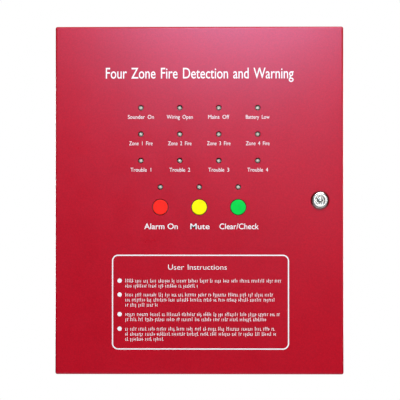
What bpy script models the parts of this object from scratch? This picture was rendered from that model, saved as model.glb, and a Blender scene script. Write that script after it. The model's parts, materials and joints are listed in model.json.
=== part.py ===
"""A four-zone fire alarm control panel, as an assembly of separate pieces.

Metres, +Z up. The origin is the centre of the face that lies on the wall, and the
door faces -Y. A sheet-steel back box holds the main board, the transformer and two
standby batteries. The door carries the display board, its lamps, three push buttons
and a tubular cam lock, and it swings on two hinges behind its left edge.
"""

import math

import bmesh
import bpy
from mathutils import Matrix, Vector

# Enclosure
DEPTH = 0.090
SHEET = 0.0012
BEND_RADIUS = 0.002
DOOR_WIDTH = 0.290
DOOR_HEIGHT = 0.350
DOOR_RETURN = 0.014
BOX_WIDTH = 0.280
BOX_HEIGHT = 0.340
BOX_DEPTH = 0.084
BOX_LIP = 0.006

GAP = 0.0003  # between pieces that rest on each other
DOOR_FACE_Y = -DEPTH
DOOR_INSIDE_Y = DOOR_FACE_Y + SHEET
DOOR_REAR_Y = DOOR_FACE_Y + DOOR_RETURN
BACK_WALL_Y = -SHEET
BOX_SIDE_X = BOX_WIDTH / 2
BOX_FLOOR_Z = -BOX_HEIGHT / 2 + SHEET

# Hinges: the pin lies behind the door's left return edge, beside the box's wall
HINGE_RADIUS = 0.0023
HINGE_X = -BOX_SIDE_X - 0.0025
HINGE_Y = DOOR_REAR_Y + 0.0028
HINGE_HEIGHT = 0.042
HINGE_OFFSET_Z = 0.120
PIN_PROUD = 0.001
PIN_RADIUS = 0.0012
PIN_BORE_RADIUS = 0.0015
LEAF_REACH = 0.012

# Lamps and buttons on the door
COLUMN_PITCH = 0.0392
LAMP_ROW_PITCH = 0.0266
LAMP_TOP_Z = 0.0932
LAMP_RADIUS = 0.0025
LAMP_FLANGE_RADIUS = 0.0029
LAMP_LENGTH = 0.0080
LAMP_RIM = 0.001
LAMP_HOLE_RADIUS = 0.0028
BUTTON_Z = -0.0069
BUTTON_RADIUS = 0.0076
BUTTON_HOLE_RADIUS = 0.0083
BUTTON_PROUD = 0.0006
BUTTON_EDGE = 0.0008
BUTTON_COLLAR_RADIUS = 0.0088
BUTTON_COLLAR_HEIGHT = 0.0007
BUTTON_STEM_RADIUS = 0.0022
BUTTON_STEM_LENGTH = 0.0048
BUTTON_SKIRT_Y = -0.0876
SWITCH_SIDE = 0.012
SWITCH_FRONT_Y = -0.0853
SWITCH_BORE_RADIUS = 0.0027

# Display board, on shouldered studs welded to the door
BOARD_THICKNESS = 0.0016
DISPLAY_WIDTH = 0.144
DISPLAY_TOP_Z = 0.106
DISPLAY_BOTTOM_Z = -0.024
DISPLAY_FRONT_Y = -0.0800
DISPLAY_REAR_Y = DISPLAY_FRONT_Y + BOARD_THICKNESS
DISPLAY_STUD_X = 0.067
DISPLAY_STUD_ZS = (0.101, -0.019)
BUZZER_X = 0.046
BUZZER_Z = 0.080
BUZZER_RADIUS = 0.006
BUZZER_HEIGHT = 0.0085
SOCKET_LOW_X = -0.066
SOCKET_HIGH_X = -0.057
SOCKET_LOW_Z = 0.028
SOCKET_HIGH_Z = 0.058
SOCKET_HEIGHT = 0.0085
SOCKET_WALL = 0.0013
SOCKET_FLOOR = 0.002

# Lock, at the door's right edge
LOCK_X = 0.1214
LOCK_HEAD_RADIUS = 0.0095
LOCK_FACE_RADIUS = 0.0080
LOCK_BARREL_RADIUS = 0.0078
LOCK_PROUD = 0.0025
LOCK_REAR_Y = -0.0740
KEYWAY_OUTER_RADIUS = 0.0046
KEYWAY_INNER_RADIUS = 0.0026
KEYWAY_DEPTH = 0.006
PLUG_RADIUS = 0.0054
TANG_SIDE = 0.005
LOCK_NUT_ACROSS_FLATS = 0.0189
LOCK_NUT_THICKNESS = 0.003
LOCK_SCREW_RADIUS = 0.0013
LOCK_SCREW_HEAD_RADIUS = 0.0042
LOCK_SCREW_HEAD_HEIGHT = 0.002
LOCK_SCREW_LENGTH = 0.008
LOCK_SCREW_HOLE_RADIUS = 0.0017
CAM_REACH = 0.0124
CAM_THICKNESS = 0.002
CAM_WIDTH = 0.009
CAM_HOLE_SIDE = 0.0058
CAM_CLEAR = 0.0008  # between the cam's arm and the strike

# Strike, a plate behind the box's lip that the lock's cam passes behind
STRIKE_EDGE_X = 0.1300
STRIKE_WIDTH = 0.0076
STRIKE_HEIGHT = 0.024
STRIKE_EDGE = 0.0003
STRIKE_FRONT_Y = -BOX_DEPTH + SHEET + GAP
STRIKE_REAR_Y = STRIKE_FRONT_Y + SHEET

# Main board, on shouldered studs welded to the back wall
MAIN_WIDTH = 0.190
MAIN_BOTTOM_Z = 0.036
MAIN_TOP_Z = 0.156
MAIN_REAR_Y = -0.0095
MAIN_FRONT_Y = MAIN_REAR_Y - BOARD_THICKNESS
MAIN_STUD_X = 0.089
MAIN_STUD_ZS = (0.042, 0.150)
TERMINAL_ROW_HALF_WIDTH = 0.0765
TERMINAL_ROW_LOW_Z = 0.140
TERMINAL_ROW_HIGH_Z = 0.152
TERMINAL_ROW_DEPTH = 0.012
RELAY_XS = (0.030, 0.052)
RELAY_LOW_Z = 0.108
RELAY_WIDTH = 0.0155
RELAY_HEIGHT = 0.019
FUSE_LOW_X = -0.088
FUSE_HIGH_X = -0.066
FUSE_LOW_Z = 0.050
FUSE_HIGH_Z = 0.059
FUSE_DEPTH = 0.011

# Heat sink on the main board: a base with upright fins
SINK_LOW_X = -0.060
SINK_HIGH_X = -0.020
SINK_LOW_Z = 0.044
SINK_HIGH_Z = 0.066
SINK_DEPTH = 0.016
SINK_BASE = 0.003
FIN_THICKNESS = 0.0015
FIN_COUNT = 6

# Studs and their nuts
STUD_SHOULDER_RADIUS = 0.003
STUD_PIN_RADIUS = 0.0014
STUD_PROUD = 0.004
STUD_HOLE_RADIUS = 0.0019
NUT_ACROSS_FLATS = 0.0055
NUT_THICKNESS = 0.0024

# Standby batteries
BATTERY_WIDTH = 0.090
BATTERY_DEPTH = 0.070
BATTERY_HEIGHT = 0.101
BATTERY_XS = (-0.0905, 0.0005)
BATTERY_EDGE = 0.0015
TAB_X = 0.028
TAB_THICKNESS = 0.0008
TAB_WIDTH = 0.0047
TAB_REAR = 0.0103
TAB_HEIGHT = 0.006
BATTERY_STRAP_WIDTH = 0.020
BATTERY_STRAP_FOOT = 0.014

# Transformer
TRANSFORMER_X = 0.100
TRANSFORMER_Z = -0.118
CORE_WIDTH = 0.060
CORE_DEPTH = 0.050
CORE_STACK = 0.032
WINDOW_WIDTH = 0.010
WINDOW_DEPTH = 0.030
COIL_LENGTH = 0.052
STRAP_FOOT = 0.009
STRAP_INSET = 0.001

# Mains terminal block, stepped at its lower front, and the earth bolt
MAINS_LOW_X = 0.062
MAINS_HIGH_X = 0.112
MAINS_LOW_Z = -0.074
MAINS_HIGH_Z = -0.052
MAINS_DEPTH = 0.018
MAINS_STEP_DEPTH = 0.011
MAINS_STEP_Z = -0.067
EARTH_X = 0.125
EARTH_Z = -0.062
EARTH_PROFILE = [
    (0, 0.014),
    (0.0025, 0.014),
    (0.0025, 0.0045),
    (0.005, 0.0045),
    (0.005, 0.0008),
    (0.0062, 0.0008),
    (0.0062, 0),
    (0, 0),
]

# Wall fixing: two keyholes above and two round holes below
FIXING_X = 0.100
KEYHOLE_Z = 0.120
KEYHOLE_HEAD_RADIUS = 0.0045
KEYHOLE_SLOT_WIDTH = 0.0048
KEYHOLE_TOP_Z = 0.1305
FIXING_HOLE_Z = -0.045
FIXING_HOLE_RADIUS = 0.0024

THROUGH = 0.001  # how far a drill runs past a face

# How finely round pieces are faceted
FINE = 24
ROUND = 16
COARSE = 10


def clear_scene():
    for obj in list(bpy.data.objects):
        bpy.data.objects.remove(obj)


def new_collection(name):
    collection = bpy.data.collections.new(name)
    bpy.context.scene.collection.children.link(collection)
    return collection


def material(name, color, roughness, metallic=0.0):
    made = bpy.data.materials.new(name)
    made.use_nodes = True
    shader = made.node_tree.nodes["Principled BSDF"]
    shader.inputs["Base Color"].default_value = (*color, 1.0)
    shader.inputs["Roughness"].default_value = roughness
    shader.inputs["Metallic"].default_value = metallic
    return made


clear_scene()
PANEL = new_collection("fire_alarm_control_panel")
CUTTERS = new_collection("cutters")

RED_PAINT = material("red_paint", (0.50, 0.02, 0.05), 0.45)
STEEL = material("zinc_plated_steel", (0.62, 0.63, 0.62), 0.35, 1.0)
CHROME = material("chrome", (0.80, 0.80, 0.79), 0.15, 1.0)
GREEN_BOARD = material("green_board", (0.02, 0.16, 0.06), 0.40)
LAMP_CLEAR = material("lamp_clear", (0.75, 0.78, 0.72), 0.15)
BUTTON_RED = material("button_red", (0.85, 0.03, 0.02), 0.35)
BUTTON_YELLOW = material("button_yellow", (0.95, 0.85, 0.02), 0.35)
BUTTON_GREEN = material("button_green", (0.01, 0.50, 0.10), 0.35)
BLACK_PLASTIC = material("black_plastic", (0.03, 0.03, 0.03), 0.50)
GREY_PLASTIC = material("grey_plastic", (0.30, 0.31, 0.32), 0.50)
GREEN_PLASTIC = material("green_plastic", (0.03, 0.30, 0.12), 0.45)
BLUE_PLASTIC = material("blue_plastic", (0.03, 0.12, 0.40), 0.45)
CORE_STEEL = material("core_steel", (0.22, 0.22, 0.23), 0.50, 1.0)
COIL_TAPE = material("coil_tape", (0.75, 0.60, 0.10), 0.40)
ALUMINIUM = material("aluminium", (0.55, 0.56, 0.57), 0.35, 1.0)
BRASS = material("brass", (0.72, 0.55, 0.22), 0.30, 1.0)


def to_object(name, bm, finish, collection=PANEL):
    mesh = bpy.data.meshes.new(name)
    bm.to_mesh(mesh)
    bm.free()
    obj = bpy.data.objects.new(name, mesh)
    collection.objects.link(obj)
    if finish:
        mesh.materials.append(finish)
    if collection is CUTTERS:
        obj.hide_render = True
        obj.display_type = "WIRE"
    return obj


def block(name, low, high, finish, collection=PANEL):
    """A box between two corners, with its origin at its centre."""
    low, high = Vector(low), Vector(high)
    bm = bmesh.new()
    bmesh.ops.create_cube(bm, size=1.0)
    bmesh.ops.scale(bm, vec=high - low, verts=bm.verts)
    obj = to_object(name, bm, finish, collection)
    obj.location = (low + high) / 2
    return obj


def cutter(name, low, high):
    """A box that is taken away from a piece, or joined to it."""
    return block(name, low, high, None, CUTTERS)


def rods(name, centres, radius, front_y, rear_y, segments=ROUND, finish=None, collection=CUTTERS):
    """Round bars along Y, one at each (x, z), in one object."""
    bm = bmesh.new()
    turn = Matrix.Rotation(math.radians(90), 4, "X")
    for x, z in centres:
        place = Matrix.Translation((x, (front_y + rear_y) / 2, z)) @ turn
        bmesh.ops.create_cone(
            bm, cap_ends=True, segments=segments, radius1=radius, radius2=radius,
            depth=abs(rear_y - front_y), matrix=place,
        )
    return to_object(name, bm, finish, collection)


def hinge_bar(name, radius, low_z, high_z, finish=None, collection=CUTTERS):
    """An upright round bar on the hinges' axis."""
    bm = bmesh.new()
    bmesh.ops.create_cone(
        bm, cap_ends=True, segments=ROUND, radius1=radius, radius2=radius, depth=high_z - low_z
    )
    obj = to_object(name, bm, finish, collection)
    obj.location = (HINGE_X, HINGE_Y, (low_z + high_z) / 2)
    return obj


def turned(name, profile, x, rear_y, z, finish, steps=ROUND):
    """A piece turned about an axis along Y. The profile lists (radius, height in front of rear_y)."""
    mesh = bpy.data.meshes.new(name)
    points = [(radius, 0.0, height) for radius, height in profile]
    closed = profile[0][0] > 0 or profile[-1][0] > 0
    edges = [(i, i + 1) for i in range(len(points) - 1)]
    if closed:
        edges.append((len(points) - 1, 0))
    mesh.from_pydata(points, edges, [])
    mesh.materials.append(finish)
    obj = bpy.data.objects.new(name, mesh)
    PANEL.objects.link(obj)
    screw = obj.modifiers.new("turn", "SCREW")
    screw.axis = "Z"
    screw.steps = steps
    screw.render_steps = steps
    screw.use_merge_vertices = True
    screw.merge_threshold = 0.00001
    screw.use_smooth_shade = False
    obj.rotation_euler = (math.radians(90), 0, 0)
    obj.location = (x, rear_y, z)
    return obj


def boolean(obj, other, operation="DIFFERENCE"):
    modifier = obj.modifiers.new(other.name, "BOOLEAN")
    modifier.operation = operation
    modifier.solver = "EXACT"
    modifier.object = other


def drill(obj, centre, radius, front_y, rear_y, segments=COARSE):
    """A round hole along Y that runs a little past both faces."""
    hole = rods(f"{obj.name}_bore", [centre], radius, front_y - THROUGH, rear_y + THROUGH, segments)
    boolean(obj, hole)


def bevel(obj, width):
    modifier = obj.modifiers.new("bevel", "BEVEL")
    modifier.width = width
    modifier.segments = 1
    modifier.limit_method = "ANGLE"
    modifier.angle_limit = math.radians(30)


def folded_tray(name, width, height, front_y, rear_y, open_front, lip, finish):
    """A tray of folded sheet, open on one side, where its walls may turn in as a lip."""
    bm = bmesh.new()
    bmesh.ops.create_cube(bm, size=1.0)
    bmesh.ops.scale(bm, vec=(width, rear_y - front_y, height), verts=bm.verts)
    bmesh.ops.translate(bm, vec=(0, (front_y + rear_y) / 2, 0), verts=bm.verts)
    open_way = Vector((0, -1 if open_front else 1, 0))
    mouth = max(bm.faces, key=lambda face: face.normal.dot(open_way))
    folds = [edge for edge in bm.edges if lip or edge not in mouth.edges[:]]
    bmesh.ops.bevel(bm, geom=folds, offset=BEND_RADIUS, segments=2, profile=0.5, affect="EDGES")
    mouth = max(bm.faces, key=lambda face: face.normal.dot(open_way) * face.calc_area())
    if lip:
        bmesh.ops.inset_region(bm, faces=[mouth], thickness=lip - BEND_RADIUS)
    bmesh.ops.delete(bm, geom=[mouth], context="FACES_ONLY")
    obj = to_object(name, bm, finish)
    sheet = obj.modifiers.new("sheet", "SOLIDIFY")
    sheet.thickness = SHEET
    sheet.offset = -1
    sheet.use_even_offset = True
    return obj


def folded_strip(name, outline, start, stop, along, finish):
    """A strip of sheet drawn out along X or Z. Its middle follows an outline of (across, y) points."""
    bm = bmesh.new()
    if along == "Z":
        corners_at_start = [(across, y, start) for across, y in outline]
        way = Vector((0, 0, stop - start))
    else:
        corners_at_start = [(start, y, across) for across, y in outline]
        way = Vector((stop - start, 0, 0))
    verts = [bm.verts.new(corner) for corner in corners_at_start]
    edges = [bm.edges.new(pair) for pair in zip(verts, verts[1:])]
    drawn = bmesh.ops.extrude_edge_only(bm, edges=edges)["geom"]
    far_verts = [item for item in drawn if isinstance(item, bmesh.types.BMVert)]
    bmesh.ops.translate(bm, vec=way, verts=far_verts)
    bmesh.ops.recalc_face_normals(bm, faces=bm.faces)
    obj = to_object(name, bm, finish)
    sheet = obj.modifiers.new("sheet", "SOLIDIFY")
    sheet.thickness = SHEET
    sheet.offset = 0
    sheet.use_even_offset = True
    return obj


def lamp_places():
    """(name, x, z) of each lamp: three rows of four, and one above each button."""
    rows = [
        ["sounder_on", "sounder_fault", "mains_fault", "battery_fault"],
        [f"zone_{n}_fire" for n in (1, 2, 3, 4)],
        [f"zone_{n}_fault" for n in (1, 2, 3, 4)],
        ["evacuate", "silence", "reset"],
    ]
    for row, names in enumerate(rows):
        for column, name in enumerate(names):
            x = (column - (len(names) - 1) / 2) * COLUMN_PITCH
            yield name, x, LAMP_TOP_Z - row * LAMP_ROW_PITCH


def button_places():
    for column, (name, finish) in enumerate(
        [("evacuate", BUTTON_RED), ("silence", BUTTON_YELLOW), ("reset", BUTTON_GREEN)]
    ):
        yield name, (column - 1) * COLUMN_PITCH, finish


def corners(half_x, zs):
    return [(side * half_x, z) for z in zs for side in (-1, 1)]


def add_studs(obj, name, centres, wall_y, shoulder_y, tip_y):
    """Shouldered weld studs that become part of a sheet, rooted a little inside it."""
    root_y = wall_y + math.copysign(SHEET / 2, wall_y - shoulder_y)
    shoulders = rods(f"{name}_shoulders", centres, STUD_SHOULDER_RADIUS, root_y, shoulder_y, COARSE)
    pins_root_y = shoulder_y + math.copysign(0.002, wall_y - shoulder_y)
    pins = rods(f"{name}_pins", centres, STUD_PIN_RADIUS, pins_root_y, tip_y, COARSE)
    boolean(obj, shoulders, "UNION")
    boolean(obj, pins, "UNION")


def add_nuts(name, centres, front_y):
    """Hexagon nuts on the studs, one node each."""
    nuts = []
    for index, (x, z) in enumerate(centres, start=1):
        rear_y = front_y + NUT_THICKNESS
        outer = NUT_ACROSS_FLATS / math.sqrt(3)
        nut = rods(f"{name}_{index}", [(x, z)], outer, front_y, rear_y, 6, STEEL, PANEL)
        drill(nut, (x, z), STUD_HOLE_RADIUS, front_y, rear_y)
        nuts.append(nut)
    return nuts


def make_door():
    """The door's pan, drilled for the lamps, the buttons and the lock, with studs for the board."""
    door = folded_tray(
        "door_panel", DOOR_WIDTH, DOOR_HEIGHT, DOOR_FACE_Y, DOOR_REAR_Y, False, 0, RED_PAINT
    )
    front_y, rear_y = DOOR_FACE_Y - 0.002, DOOR_INSIDE_Y + 0.002
    lamps = [(x, z) for _, x, z in lamp_places()]
    buttons = [(x, BUTTON_Z) for _, x, _ in button_places()]
    boolean(door, rods("lamp_holes", lamps, LAMP_HOLE_RADIUS, front_y, rear_y, ROUND))
    boolean(door, rods("button_holes", buttons, BUTTON_HOLE_RADIUS, front_y, rear_y, FINE))
    boolean(door, rods("lock_hole", [(LOCK_X, 0)], LOCK_BARREL_RADIUS + GAP, front_y, rear_y, FINE))
    studs = corners(DISPLAY_STUD_X, DISPLAY_STUD_ZS)
    tip_y = DISPLAY_REAR_Y + STUD_PROUD
    add_studs(door, "door_studs", studs, DOOR_INSIDE_Y, DISPLAY_FRONT_Y - GAP, tip_y)
    return door


def make_lamps():
    """Five-millimetre lamps whose domes stop just short of the door's face."""
    dome_z = LAMP_LENGTH - LAMP_RADIUS
    dome = [
        (LAMP_RADIUS * math.sin(angle), dome_z + LAMP_RADIUS * math.cos(angle))
        for angle in (0, math.radians(45), math.radians(90))
    ]
    profile = dome + [
        (LAMP_RADIUS, LAMP_RIM),
        (LAMP_FLANGE_RADIUS, LAMP_RIM),
        (LAMP_FLANGE_RADIUS, 0),
        (0, 0),
    ]
    return [
        turned(f"lamp_{name}", profile, x, DISPLAY_FRONT_Y - GAP, z, LAMP_CLEAR, COARSE)
        for name, x, z in lamp_places()
    ]


def make_button(name, x, finish):
    """A round cap with a retaining collar behind the door and a stem that enters its switch."""
    height = DEPTH + BUTTON_PROUD + BUTTON_SKIRT_Y
    profile = [
        (0, height),
        (BUTTON_RADIUS - BUTTON_EDGE, height),
        (BUTTON_RADIUS, height - BUTTON_EDGE),
        (BUTTON_RADIUS, BUTTON_COLLAR_HEIGHT),
        (BUTTON_COLLAR_RADIUS, BUTTON_COLLAR_HEIGHT),
        (BUTTON_COLLAR_RADIUS, 0),
        (BUTTON_STEM_RADIUS, 0),
        (BUTTON_STEM_RADIUS, -BUTTON_STEM_LENGTH),
        (0, -BUTTON_STEM_LENGTH),
    ]
    return turned(f"button_{name}", profile, x, BUTTON_SKIRT_Y, BUTTON_Z, finish, FINE)


def make_switch(name, x):
    """The square body of a push switch, bored for the button's stem."""
    half = SWITCH_SIDE / 2
    rear_y = DISPLAY_FRONT_Y - GAP
    body = block(
        f"switch_{name}",
        (x - half, SWITCH_FRONT_Y, BUTTON_Z - half),
        (x + half, rear_y, BUTTON_Z + half),
        BLACK_PLASTIC,
    )
    drill(body, (x, BUTTON_Z), SWITCH_BORE_RADIUS, SWITCH_FRONT_Y, rear_y, ROUND)
    return body


def make_display_board():
    """The board behind the door, its nuts, and the sounder and socket on its back."""
    board = block(
        "display_board",
        (-DISPLAY_WIDTH / 2, DISPLAY_FRONT_Y, DISPLAY_BOTTOM_Z),
        (DISPLAY_WIDTH / 2, DISPLAY_REAR_Y, DISPLAY_TOP_Z),
        GREEN_BOARD,
    )
    studs = corners(DISPLAY_STUD_X, DISPLAY_STUD_ZS)
    front_y, rear_y = DISPLAY_FRONT_Y - THROUGH, DISPLAY_REAR_Y + THROUGH
    boolean(board, rods("display_stud_holes", studs, STUD_HOLE_RADIUS, front_y, rear_y, COARSE))
    on_rear_y = DISPLAY_REAR_Y + GAP
    buzzer_y = on_rear_y + BUZZER_HEIGHT
    buzzer = rods(
        "buzzer", [(BUZZER_X, BUZZER_Z)], BUZZER_RADIUS, on_rear_y, buzzer_y, ROUND, BLACK_PLASTIC, PANEL
    )
    socket_y = on_rear_y + SOCKET_HEIGHT
    socket = block(
        "ribbon_socket",
        (SOCKET_LOW_X, on_rear_y, SOCKET_LOW_Z),
        (SOCKET_HIGH_X, socket_y, SOCKET_HIGH_Z),
        BLACK_PLASTIC,
    )
    hollow = cutter(
        "ribbon_socket_hollow",
        (SOCKET_LOW_X + SOCKET_WALL, on_rear_y + SOCKET_FLOOR, SOCKET_LOW_Z + SOCKET_WALL),
        (SOCKET_HIGH_X - SOCKET_WALL, socket_y + THROUGH, SOCKET_HIGH_Z - SOCKET_WALL),
    )
    boolean(socket, hollow)
    return [board, buzzer, socket] + add_nuts("display_nut", studs, on_rear_y)


def make_lock_housing():
    """The lock's threaded barrel, with a tapered head and the outer wall of the ring-shaped keyway."""
    front = DEPTH + LOCK_PROUD + LOCK_REAR_Y
    seat = DEPTH + LOCK_REAR_Y + GAP
    keyway_end = front - KEYWAY_DEPTH
    bore = PLUG_RADIUS + 0.0004
    profile = [
        (KEYWAY_OUTER_RADIUS, front),
        (LOCK_FACE_RADIUS, front),
        (LOCK_HEAD_RADIUS, seat + 0.0004),
        (LOCK_HEAD_RADIUS, seat),
        (LOCK_BARREL_RADIUS, seat),
        (LOCK_BARREL_RADIUS, 0),
        (bore, 0),
        (bore, keyway_end),
        (KEYWAY_OUTER_RADIUS, keyway_end),
    ]
    return turned("lock_housing", profile, LOCK_X, LOCK_REAR_Y, 0, CHROME, FINE)


def make_lock_nut():
    """The thin hexagon nut that holds the lock in the door."""
    front_y = DOOR_INSIDE_Y + GAP
    rear_y = front_y + LOCK_NUT_THICKNESS
    outer = LOCK_NUT_ACROSS_FLATS / math.sqrt(3)
    nut = rods("lock_nut", [(LOCK_X, 0)], outer, front_y, rear_y, 6, STEEL, PANEL)
    drill(nut, (LOCK_X, 0), LOCK_BARREL_RADIUS + 2 * GAP, front_y, rear_y, FINE)
    return nut


def make_lock_plug():
    """The lock's turning middle: a round post in the keyway, a plug, and a square end for the cam."""
    front = DEPTH + LOCK_PROUD + LOCK_REAR_Y - GAP
    body_front = DEPTH + LOCK_PROUD + LOCK_REAR_Y - KEYWAY_DEPTH - GAP
    profile = [
        (0, front),
        (KEYWAY_INNER_RADIUS, front),
        (KEYWAY_INNER_RADIUS, body_front),
        (PLUG_RADIUS, body_front),
        (PLUG_RADIUS, 0),
        (0, 0),
    ]
    plug = turned("lock_plug", profile, LOCK_X, LOCK_REAR_Y, 0, CHROME, FINE)
    half = TANG_SIDE / 2
    tang_y = LOCK_REAR_Y + CAM_THICKNESS + 0.0005
    tang = cutter(
        "lock_tang", (LOCK_X - half, LOCK_REAR_Y - 0.001, -half), (LOCK_X + half, tang_y, half)
    )
    boolean(plug, tang, "UNION")
    drill(plug, (LOCK_X, 0), LOCK_SCREW_HOLE_RADIUS, LOCK_REAR_Y - 0.003, LOCK_REAR_Y + 0.003)
    return plug


def make_lock_cam():
    """A cranked cam that hangs down when unlocked, with its arm just behind the strike when locked."""
    half = CAM_WIDTH / 2
    hub_front, hub_rear = LOCK_REAR_Y + GAP, LOCK_REAR_Y + GAP + CAM_THICKNESS
    arm_front = STRIKE_REAR_Y + CAM_CLEAR
    riser_near = LOCK_BARREL_RADIUS + 0.0010
    riser_far = riser_near + CAM_THICKNESS
    hub = block("lock_cam", (LOCK_X - half, hub_front, -riser_far), (LOCK_X + half, hub_rear, half), STEEL)
    riser = cutter(
        "lock_cam_riser",
        (LOCK_X - half, arm_front, -riser_far),
        (LOCK_X + half, hub_rear - 0.0002, -riser_near),
    )
    arm = cutter(
        "lock_cam_arm",
        (LOCK_X - half + 0.0002, arm_front, -CAM_REACH),
        (LOCK_X + half - 0.0002, arm_front + CAM_THICKNESS, -riser_near - 0.0005),
    )
    hole_half = CAM_HOLE_SIDE / 2
    hole = cutter(
        "lock_cam_hole",
        (LOCK_X - hole_half, hub_front - THROUGH, -hole_half),
        (LOCK_X + hole_half, hub_rear + THROUGH, hole_half),
    )
    boolean(hub, riser, "UNION")
    boolean(hub, arm, "UNION")
    boolean(hub, hole)
    return hub


def make_lock_strike():
    """The plate behind the box's lip, level with the lock."""
    half = STRIKE_HEIGHT / 2
    strike = block(
        "lock_strike",
        (STRIKE_EDGE_X, STRIKE_FRONT_Y, -half),
        (STRIKE_EDGE_X + STRIKE_WIDTH, STRIKE_REAR_Y, half),
        STEEL,
    )
    bevel(strike, STRIKE_EDGE)


def make_lock_screw():
    """The pan-head screw that keeps the cam on the plug."""
    tang_clear = 0.0005 + GAP
    head_rear = LOCK_REAR_Y + CAM_THICKNESS + tang_clear + GAP + LOCK_SCREW_HEAD_HEIGHT
    profile = [
        (0, LOCK_SCREW_LENGTH),
        (LOCK_SCREW_RADIUS, LOCK_SCREW_LENGTH),
        (LOCK_SCREW_RADIUS, LOCK_SCREW_HEAD_HEIGHT),
        (LOCK_SCREW_HEAD_RADIUS, LOCK_SCREW_HEAD_HEIGHT),
        (LOCK_SCREW_HEAD_RADIUS - 0.0006, 0),
        (0, 0),
    ]
    return turned("lock_screw", profile, LOCK_X, head_rear, 0, STEEL, COARSE)


def make_hinge(name, z):
    """Two leaves and a pin. The box's leaf has the outer knuckles and the door's leaf the middle one."""
    low, high = z - HINGE_HEIGHT / 2, z + HINGE_HEIGHT / 2
    middle_low, middle_high = low + HINGE_HEIGHT / 3, high - HINGE_HEIGHT / 3
    box_face_x = -BOX_SIDE_X - GAP
    box_leaf = block(
        f"hinge_box_leaf_{name}",
        (box_face_x - SHEET, HINGE_Y, low),
        (box_face_x, HINGE_Y + LEAF_REACH, high),
        STEEL,
    )
    door_face_x = -DOOR_WIDTH / 2 + SHEET + GAP
    door_leaf = block(
        f"hinge_door_leaf_{name}",
        (door_face_x, HINGE_Y - LEAF_REACH, low),
        (door_face_x + SHEET, HINGE_Y, high),
        STEEL,
    )
    add_knuckle(box_leaf, "lower", low, middle_low)
    add_knuckle(box_leaf, "upper", middle_high, high)
    add_knuckle(door_leaf, "middle", middle_low + GAP, middle_high - GAP)
    cut_notch(box_leaf, "middle", middle_low, middle_high)
    cut_notch(door_leaf, "lower", low - THROUGH, middle_low)
    cut_notch(door_leaf, "upper", middle_high, high + THROUGH)
    for leaf in (box_leaf, door_leaf):
        boolean(leaf, hinge_bar(f"{leaf.name}_bore", PIN_BORE_RADIUS, low - THROUGH, high + THROUGH))
    hinge_bar(f"hinge_pin_{name}", PIN_RADIUS, low - PIN_PROUD, high + PIN_PROUD, STEEL, PANEL)
    return door_leaf


def add_knuckle(leaf, place, low_z, high_z):
    """A knuckle round the pin, joined to a leaf."""
    boolean(leaf, hinge_bar(f"{leaf.name}_{place}_knuckle", HINGE_RADIUS, low_z, high_z), "UNION")


def cut_notch(leaf, place, low_z, high_z):
    """Room in a leaf for the other leaf's knuckle."""
    free = HINGE_RADIUS + 2 * GAP
    notch = cutter(
        f"{leaf.name}_{place}_notch",
        (HINGE_X - free, HINGE_Y - free, low_z),
        (HINGE_X + free, HINGE_Y + free, high_z),
    )
    boolean(leaf, notch)


def make_back_box():
    """The box, with its front lip, its wall fixings and the main board's studs."""
    box = folded_tray("back_box", BOX_WIDTH, BOX_HEIGHT, -BOX_DEPTH, 0, True, BOX_LIP, RED_PAINT)
    front_y, rear_y = BACK_WALL_Y - 0.002, 0.002
    heads = [(side * FIXING_X, KEYHOLE_Z) for side in (-1, 1)]
    boolean(box, rods("keyhole_heads", heads, KEYHOLE_HEAD_RADIUS, front_y, rear_y, ROUND))
    half = KEYHOLE_SLOT_WIDTH / 2
    for x, z in heads:
        boolean(box, cutter("keyhole_slot", (x - half, front_y, z), (x + half, rear_y, KEYHOLE_TOP_Z)))
    lower = [(side * FIXING_X, FIXING_HOLE_Z) for side in (-1, 1)]
    boolean(box, rods("fixing_holes", lower, FIXING_HOLE_RADIUS, front_y, rear_y, ROUND))
    studs = corners(MAIN_STUD_X, MAIN_STUD_ZS)
    add_studs(box, "box_studs", studs, BACK_WALL_Y, MAIN_REAR_Y + GAP, MAIN_FRONT_Y - STUD_PROUD)


def make_main_board():
    """The main board, its nuts, and the larger pieces that stand on it."""
    board = block(
        "main_board",
        (-MAIN_WIDTH / 2, MAIN_FRONT_Y, MAIN_BOTTOM_Z),
        (MAIN_WIDTH / 2, MAIN_REAR_Y, MAIN_TOP_Z),
        GREEN_BOARD,
    )
    studs = corners(MAIN_STUD_X, MAIN_STUD_ZS)
    front_y, rear_y = MAIN_FRONT_Y - THROUGH, MAIN_REAR_Y + THROUGH
    boolean(board, rods("main_stud_holes", studs, STUD_HOLE_RADIUS, front_y, rear_y, COARSE))
    on_front_y = MAIN_FRONT_Y - GAP
    block(
        "field_terminals",
        (-TERMINAL_ROW_HALF_WIDTH, on_front_y - TERMINAL_ROW_DEPTH, TERMINAL_ROW_LOW_Z),
        (TERMINAL_ROW_HALF_WIDTH, on_front_y, TERMINAL_ROW_HIGH_Z),
        GREEN_PLASTIC,
    )
    for index, x in enumerate(RELAY_XS, start=1):
        block(
            f"relay_{index}",
            (x, on_front_y - RELAY_WIDTH, RELAY_LOW_Z),
            (x + RELAY_WIDTH, on_front_y, RELAY_LOW_Z + RELAY_HEIGHT),
            BLUE_PLASTIC,
        )
    block(
        "fuse_holder",
        (FUSE_LOW_X, on_front_y - FUSE_DEPTH, FUSE_LOW_Z),
        (FUSE_HIGH_X, on_front_y, FUSE_HIGH_Z),
        BLACK_PLASTIC,
    )
    add_nuts("main_nut", studs, on_front_y - NUT_THICKNESS)


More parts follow.
